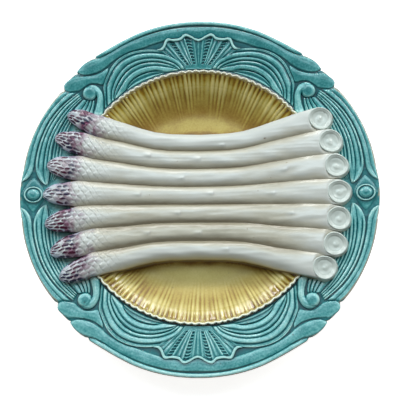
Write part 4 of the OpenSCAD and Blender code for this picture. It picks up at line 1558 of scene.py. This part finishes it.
        def shape(u: Array, v: Array) -> Sheet:
            """Wraps the sheet round the cut end's middle: its face, then its flared side."""
            turn = TURN * u
            side = np.clip((v - face) / 0.1, 0, 1)
            v = np.clip(v / face, 0, 1)
            r = self.cut_r * v * (1 + 0.02 * np.sin(3 * turn + 2 * k)) + 0.9 * side ** 1.5
            x, y = cx + 1.03 * r * np.cos(turn), cy + r * np.sin(turn)
            swirl = swirled(turn, v, 0.34, 0.42)
            swirl += 0.12 * hand(x, y, 5.0, 90 + k) * smooth((0.8 - v) * 5)
            z = self.bed_z + self.cut_h * eased(v, HOLLOW) - self.slope * (x - cx) + swirl
            return x, y, z * (1 - side) + (self.bed_z + 0.4) * side

        def marks(u: Array, v: Array) -> Marks:
            """Paints shade into the hollow and along its swirl, and a painted shadow inside the rim towards
            the upper left.
            """
            turn, v = TURN * u, v / face
            corner = 0.5 - 0.5 * np.cos(turn - 2.2)
            # Painted shade: darker over the hollow and in the swirl's grooves.
            drift = 0.17 * smooth((0.86 - v) / 0.2) - 0.2 * swirled(turn, v, 1.0, 0.45)
            # Painted shadow inside the rim on the upper-left side, where corner is low.
            drift += 0.2 * (1 - corner) * smooth((v - 0.5) / 0.2) * smooth((0.88 - v) / 0.08)
            return {"drift": drift}

        return Relief(f"cut_end_{k + 4}", 84, 44, shape, under=self.under_cut, marks=marks).press()

    def under_cut(self, x: Array, y: Array) -> Array:
        """Height of the bed's top on the border, on which the cut ends stand."""
        return x * 0 + self.bed_z

    def build(self) -> None:
        """Builds and dresses the spears."""
        for k in range(-3, 4):
            dress(self.spear(k), Finish.WHITE, f"stalk_{k + 4}", f"tip_{k + 4}")
            dress(self.cut_end(k), Finish.CUT, f"cut_end_{k + 4}")


@dataclass
class GlazePool:
    """Works out where wet glaze gathers: in the relief's hollows, away from its ridges. Painted shade and
    painted light are added to that depth.

    Attributes:
        step: Distance between the points of the survey.
        half: Half of the survey's width.
        sky_z: Height from which it is measured, in metres.
        gutter_r: Radius of the gutter between the wells and the border.
        well_top: Most height above the face that counts in the wells.
        border_top: Most height above the face that counts on the border.
        reaches: How far round a point the near, the middle and the wide look go.
    """

    step: float = 0.5
    half: float = 122.0
    sky_z: float = 0.06
    gutter_r: float = 87.0
    well_top: float = 1.8
    border_top: float = 2.6
    reaches: tuple[float, float, float] = (0.85, 2.0, 5.0)

    def survey(self, pieces: Sequence[Piece]) -> Array:
        """Measures the plate's height on a grid, from above.

        Args:
            pieces: The pieces to measure.

        Returns:
            Heights in millimetres, and 0 outside the plate.
        """
        count = int(2 * self.half / self.step)
        grid = np.zeros((count, count))
        depsgraph = bpy.context.evaluated_depsgraph_get()
        down = Vector((0, 0, -1))
        for obj in pieces:
            tree = BVHTree.FromObject(obj, depsgraph)
            box = np.array([corner[:] for corner in obj.bound_box]) / MM
            low = np.maximum(((box.min(axis=0)[:2] + self.half) / self.step).astype(int), 0)
            high = np.minimum(((box.max(axis=0)[:2] + self.half) / self.step).astype(int) + 1, count)
            for i in range(low[0], high[0]):
                x = ((i + 0.5) * self.step - self.half) * MM
                for j in range(low[1], high[1]):
                    y = ((j + 0.5) * self.step - self.half) * MM
                    hit = tree.ray_cast(Vector((x, y, self.sky_z)), down)[0]
                    if hit is not None and hit.z / MM > grid[i, j]:
                        grid[i, j] = hit.z / MM
        return grid

    def soften(self, grid: Array, sigma: float) -> Array:
        """Blurs the heights over the plate only."""
        wave = np.fft.fftfreq(grid.shape[0], self.step)
        kernel = np.exp(-2 * (math.pi * sigma) ** 2 * (wave[:, None] ** 2 + wave[None, :] ** 2))
        inside = (grid > 1.0).astype(float)
        blurred = np.real(np.fft.ifft2(np.fft.fft2(grid * inside) * kernel))
        weight = np.real(np.fft.ifft2(np.fft.fft2(inside) * kernel))
        return blurred / np.maximum(weight, 0.02)

    def sample(self, grid: Array, place: Array) -> Array:
        """Reads a grid at plan places, between its points."""
        at = (place[:, :2] + self.half) / self.step - 0.5
        at = np.clip(at, 0, grid.shape[0] - 1.001)
        i, f = at.astype(int), at - at.astype(int)
        a = grid[i[:, 0], i[:, 1]] * (1 - f[:, 0]) + grid[i[:, 0] + 1, i[:, 1]] * f[:, 0]
        b = grid[i[:, 0], i[:, 1] + 1] * (1 - f[:, 0]) + grid[i[:, 0] + 1, i[:, 1] + 1] * f[:, 0]
        return a * (1 - f[:, 1]) + b * f[:, 1]

    def paint(self, pieces: Sequence[Piece]) -> None:
        """Stores on every vertex how deep the glaze gathers there, with painted shade and painted light mixed
        in, and the painted shade on the spears.

        Args:
            pieces: The glazed pieces.
        """
        rack = [obj for obj in pieces if obj.name.startswith(("spear", "cut_end"))]
        bare = self.survey([obj for obj in pieces if obj not in rack])
        grid = np.maximum(bare, self.survey(rack))
        line = (np.arange(grid.shape[0]) + 0.5) * self.step - self.half
        gx, gy = np.meshgrid(line, line, indexing="ij")
        out, ground = np.hypot(gx, gy), FACE.height(gx, gy)
        # In the wells the spears count in the survey, so the glaze darkens at their foot: partly gathered
        # glaze, partly painted shade.
        shallow = np.where(grid > 1.0, np.minimum(grid, ground + self.well_top), 0.0)
        cap = ground + np.where(out < self.gutter_r, 1.1, self.border_top)
        outside = np.where(bare > 1.0, np.minimum(bare, cap), 0.0)
        near, far, wide = (
            np.where(out < FACE.land_r, self.soften(shallow, sigma), self.soften(outside, sigma))
            for sigma in self.reaches
        )
        broad = self.soften(grid, self.reaches[-1])
        for obj in pieces:
            place = measured(obj)
            x, y, z = place.T
            on_rim = np.hypot(x, y) > self.gutter_r
            level = np.minimum(z, FACE.height(x, y) + self.border_top)
            fine = (self.sample(near, place) - level) / 0.5
            mid = (self.sample(far, place) - level) / 1.3
            slow = (self.sample(wide, place) - level) / 2.0
            # Painted light: on the rim near the tall spears the glaze is made paler, to offset the shade that
            # they cast.
            lit = np.where(on_rim, np.clip((self.sample(broad, place) - level - 1.2) / 3.5, 0, 1), 0)
            # Painted shade: the rim's glaze is deeper, and so darker, towards +Y, where the rim faces away
            # from the lamps, and paler towards -Y.
            run = 0.06 * np.clip(y / 90.0, -0.6, 1.0) * on_rim
            pool_and_shade = 0.47 + run + 0.5 * (0.55 * fine + 0.5 * mid + 0.3 * slow) - 0.36 * lit
            # Painted shade: the spears towards -Y, in the middle of their length, are darkened.
            lower_spears_shade = 0.14 * smooth((15.0 - y) / 40.0) * smooth((75.0 - np.abs(x)) / 30.0)
            # Painted shade: the spears darken where they lie below the blurred height round them, in their
            # grooves and on their low flanks.
            hollow = 0.5 + lower_spears_shade + 0.5 * (self.sample(broad, place) - z) / 3.0
            store(obj, "pool_and_shade", np.clip(pool_and_shade, 0, 1))
            store(obj, "hollow", np.clip(hollow, 0, 1))


@dataclass
class Foot:
    """The foot ring and the bed under the spears, which are shown in their construction shapes."""

    def dress_all(self) -> None:
        """Glazes the nodes that are shown as they are."""
        for node, finish in (("foot_ring", Finish.FOOT), ("spear_bed", Finish.WHITE)):
            obj = frame["nodes"][node]
            for slot in obj.material_slots:
                slot.material = GLAZES.made[finish.value]
            log.info("node %s dressed", node)


def main() -> None:
    """Builds the studio and the plate."""
    logging.basicConfig(level=logging.INFO, format="%(message)s")
    Studio().set_up()
    GLAZES.mix_all()
    Wells().build()
    Border().build()
    Rack().build()
    Foot().dress_all()
    bpy.context.view_layer.update()
    made = [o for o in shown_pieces() if "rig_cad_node" not in o]
    GlazePool().paint(made)


if __name__ == "__main__":
    main()
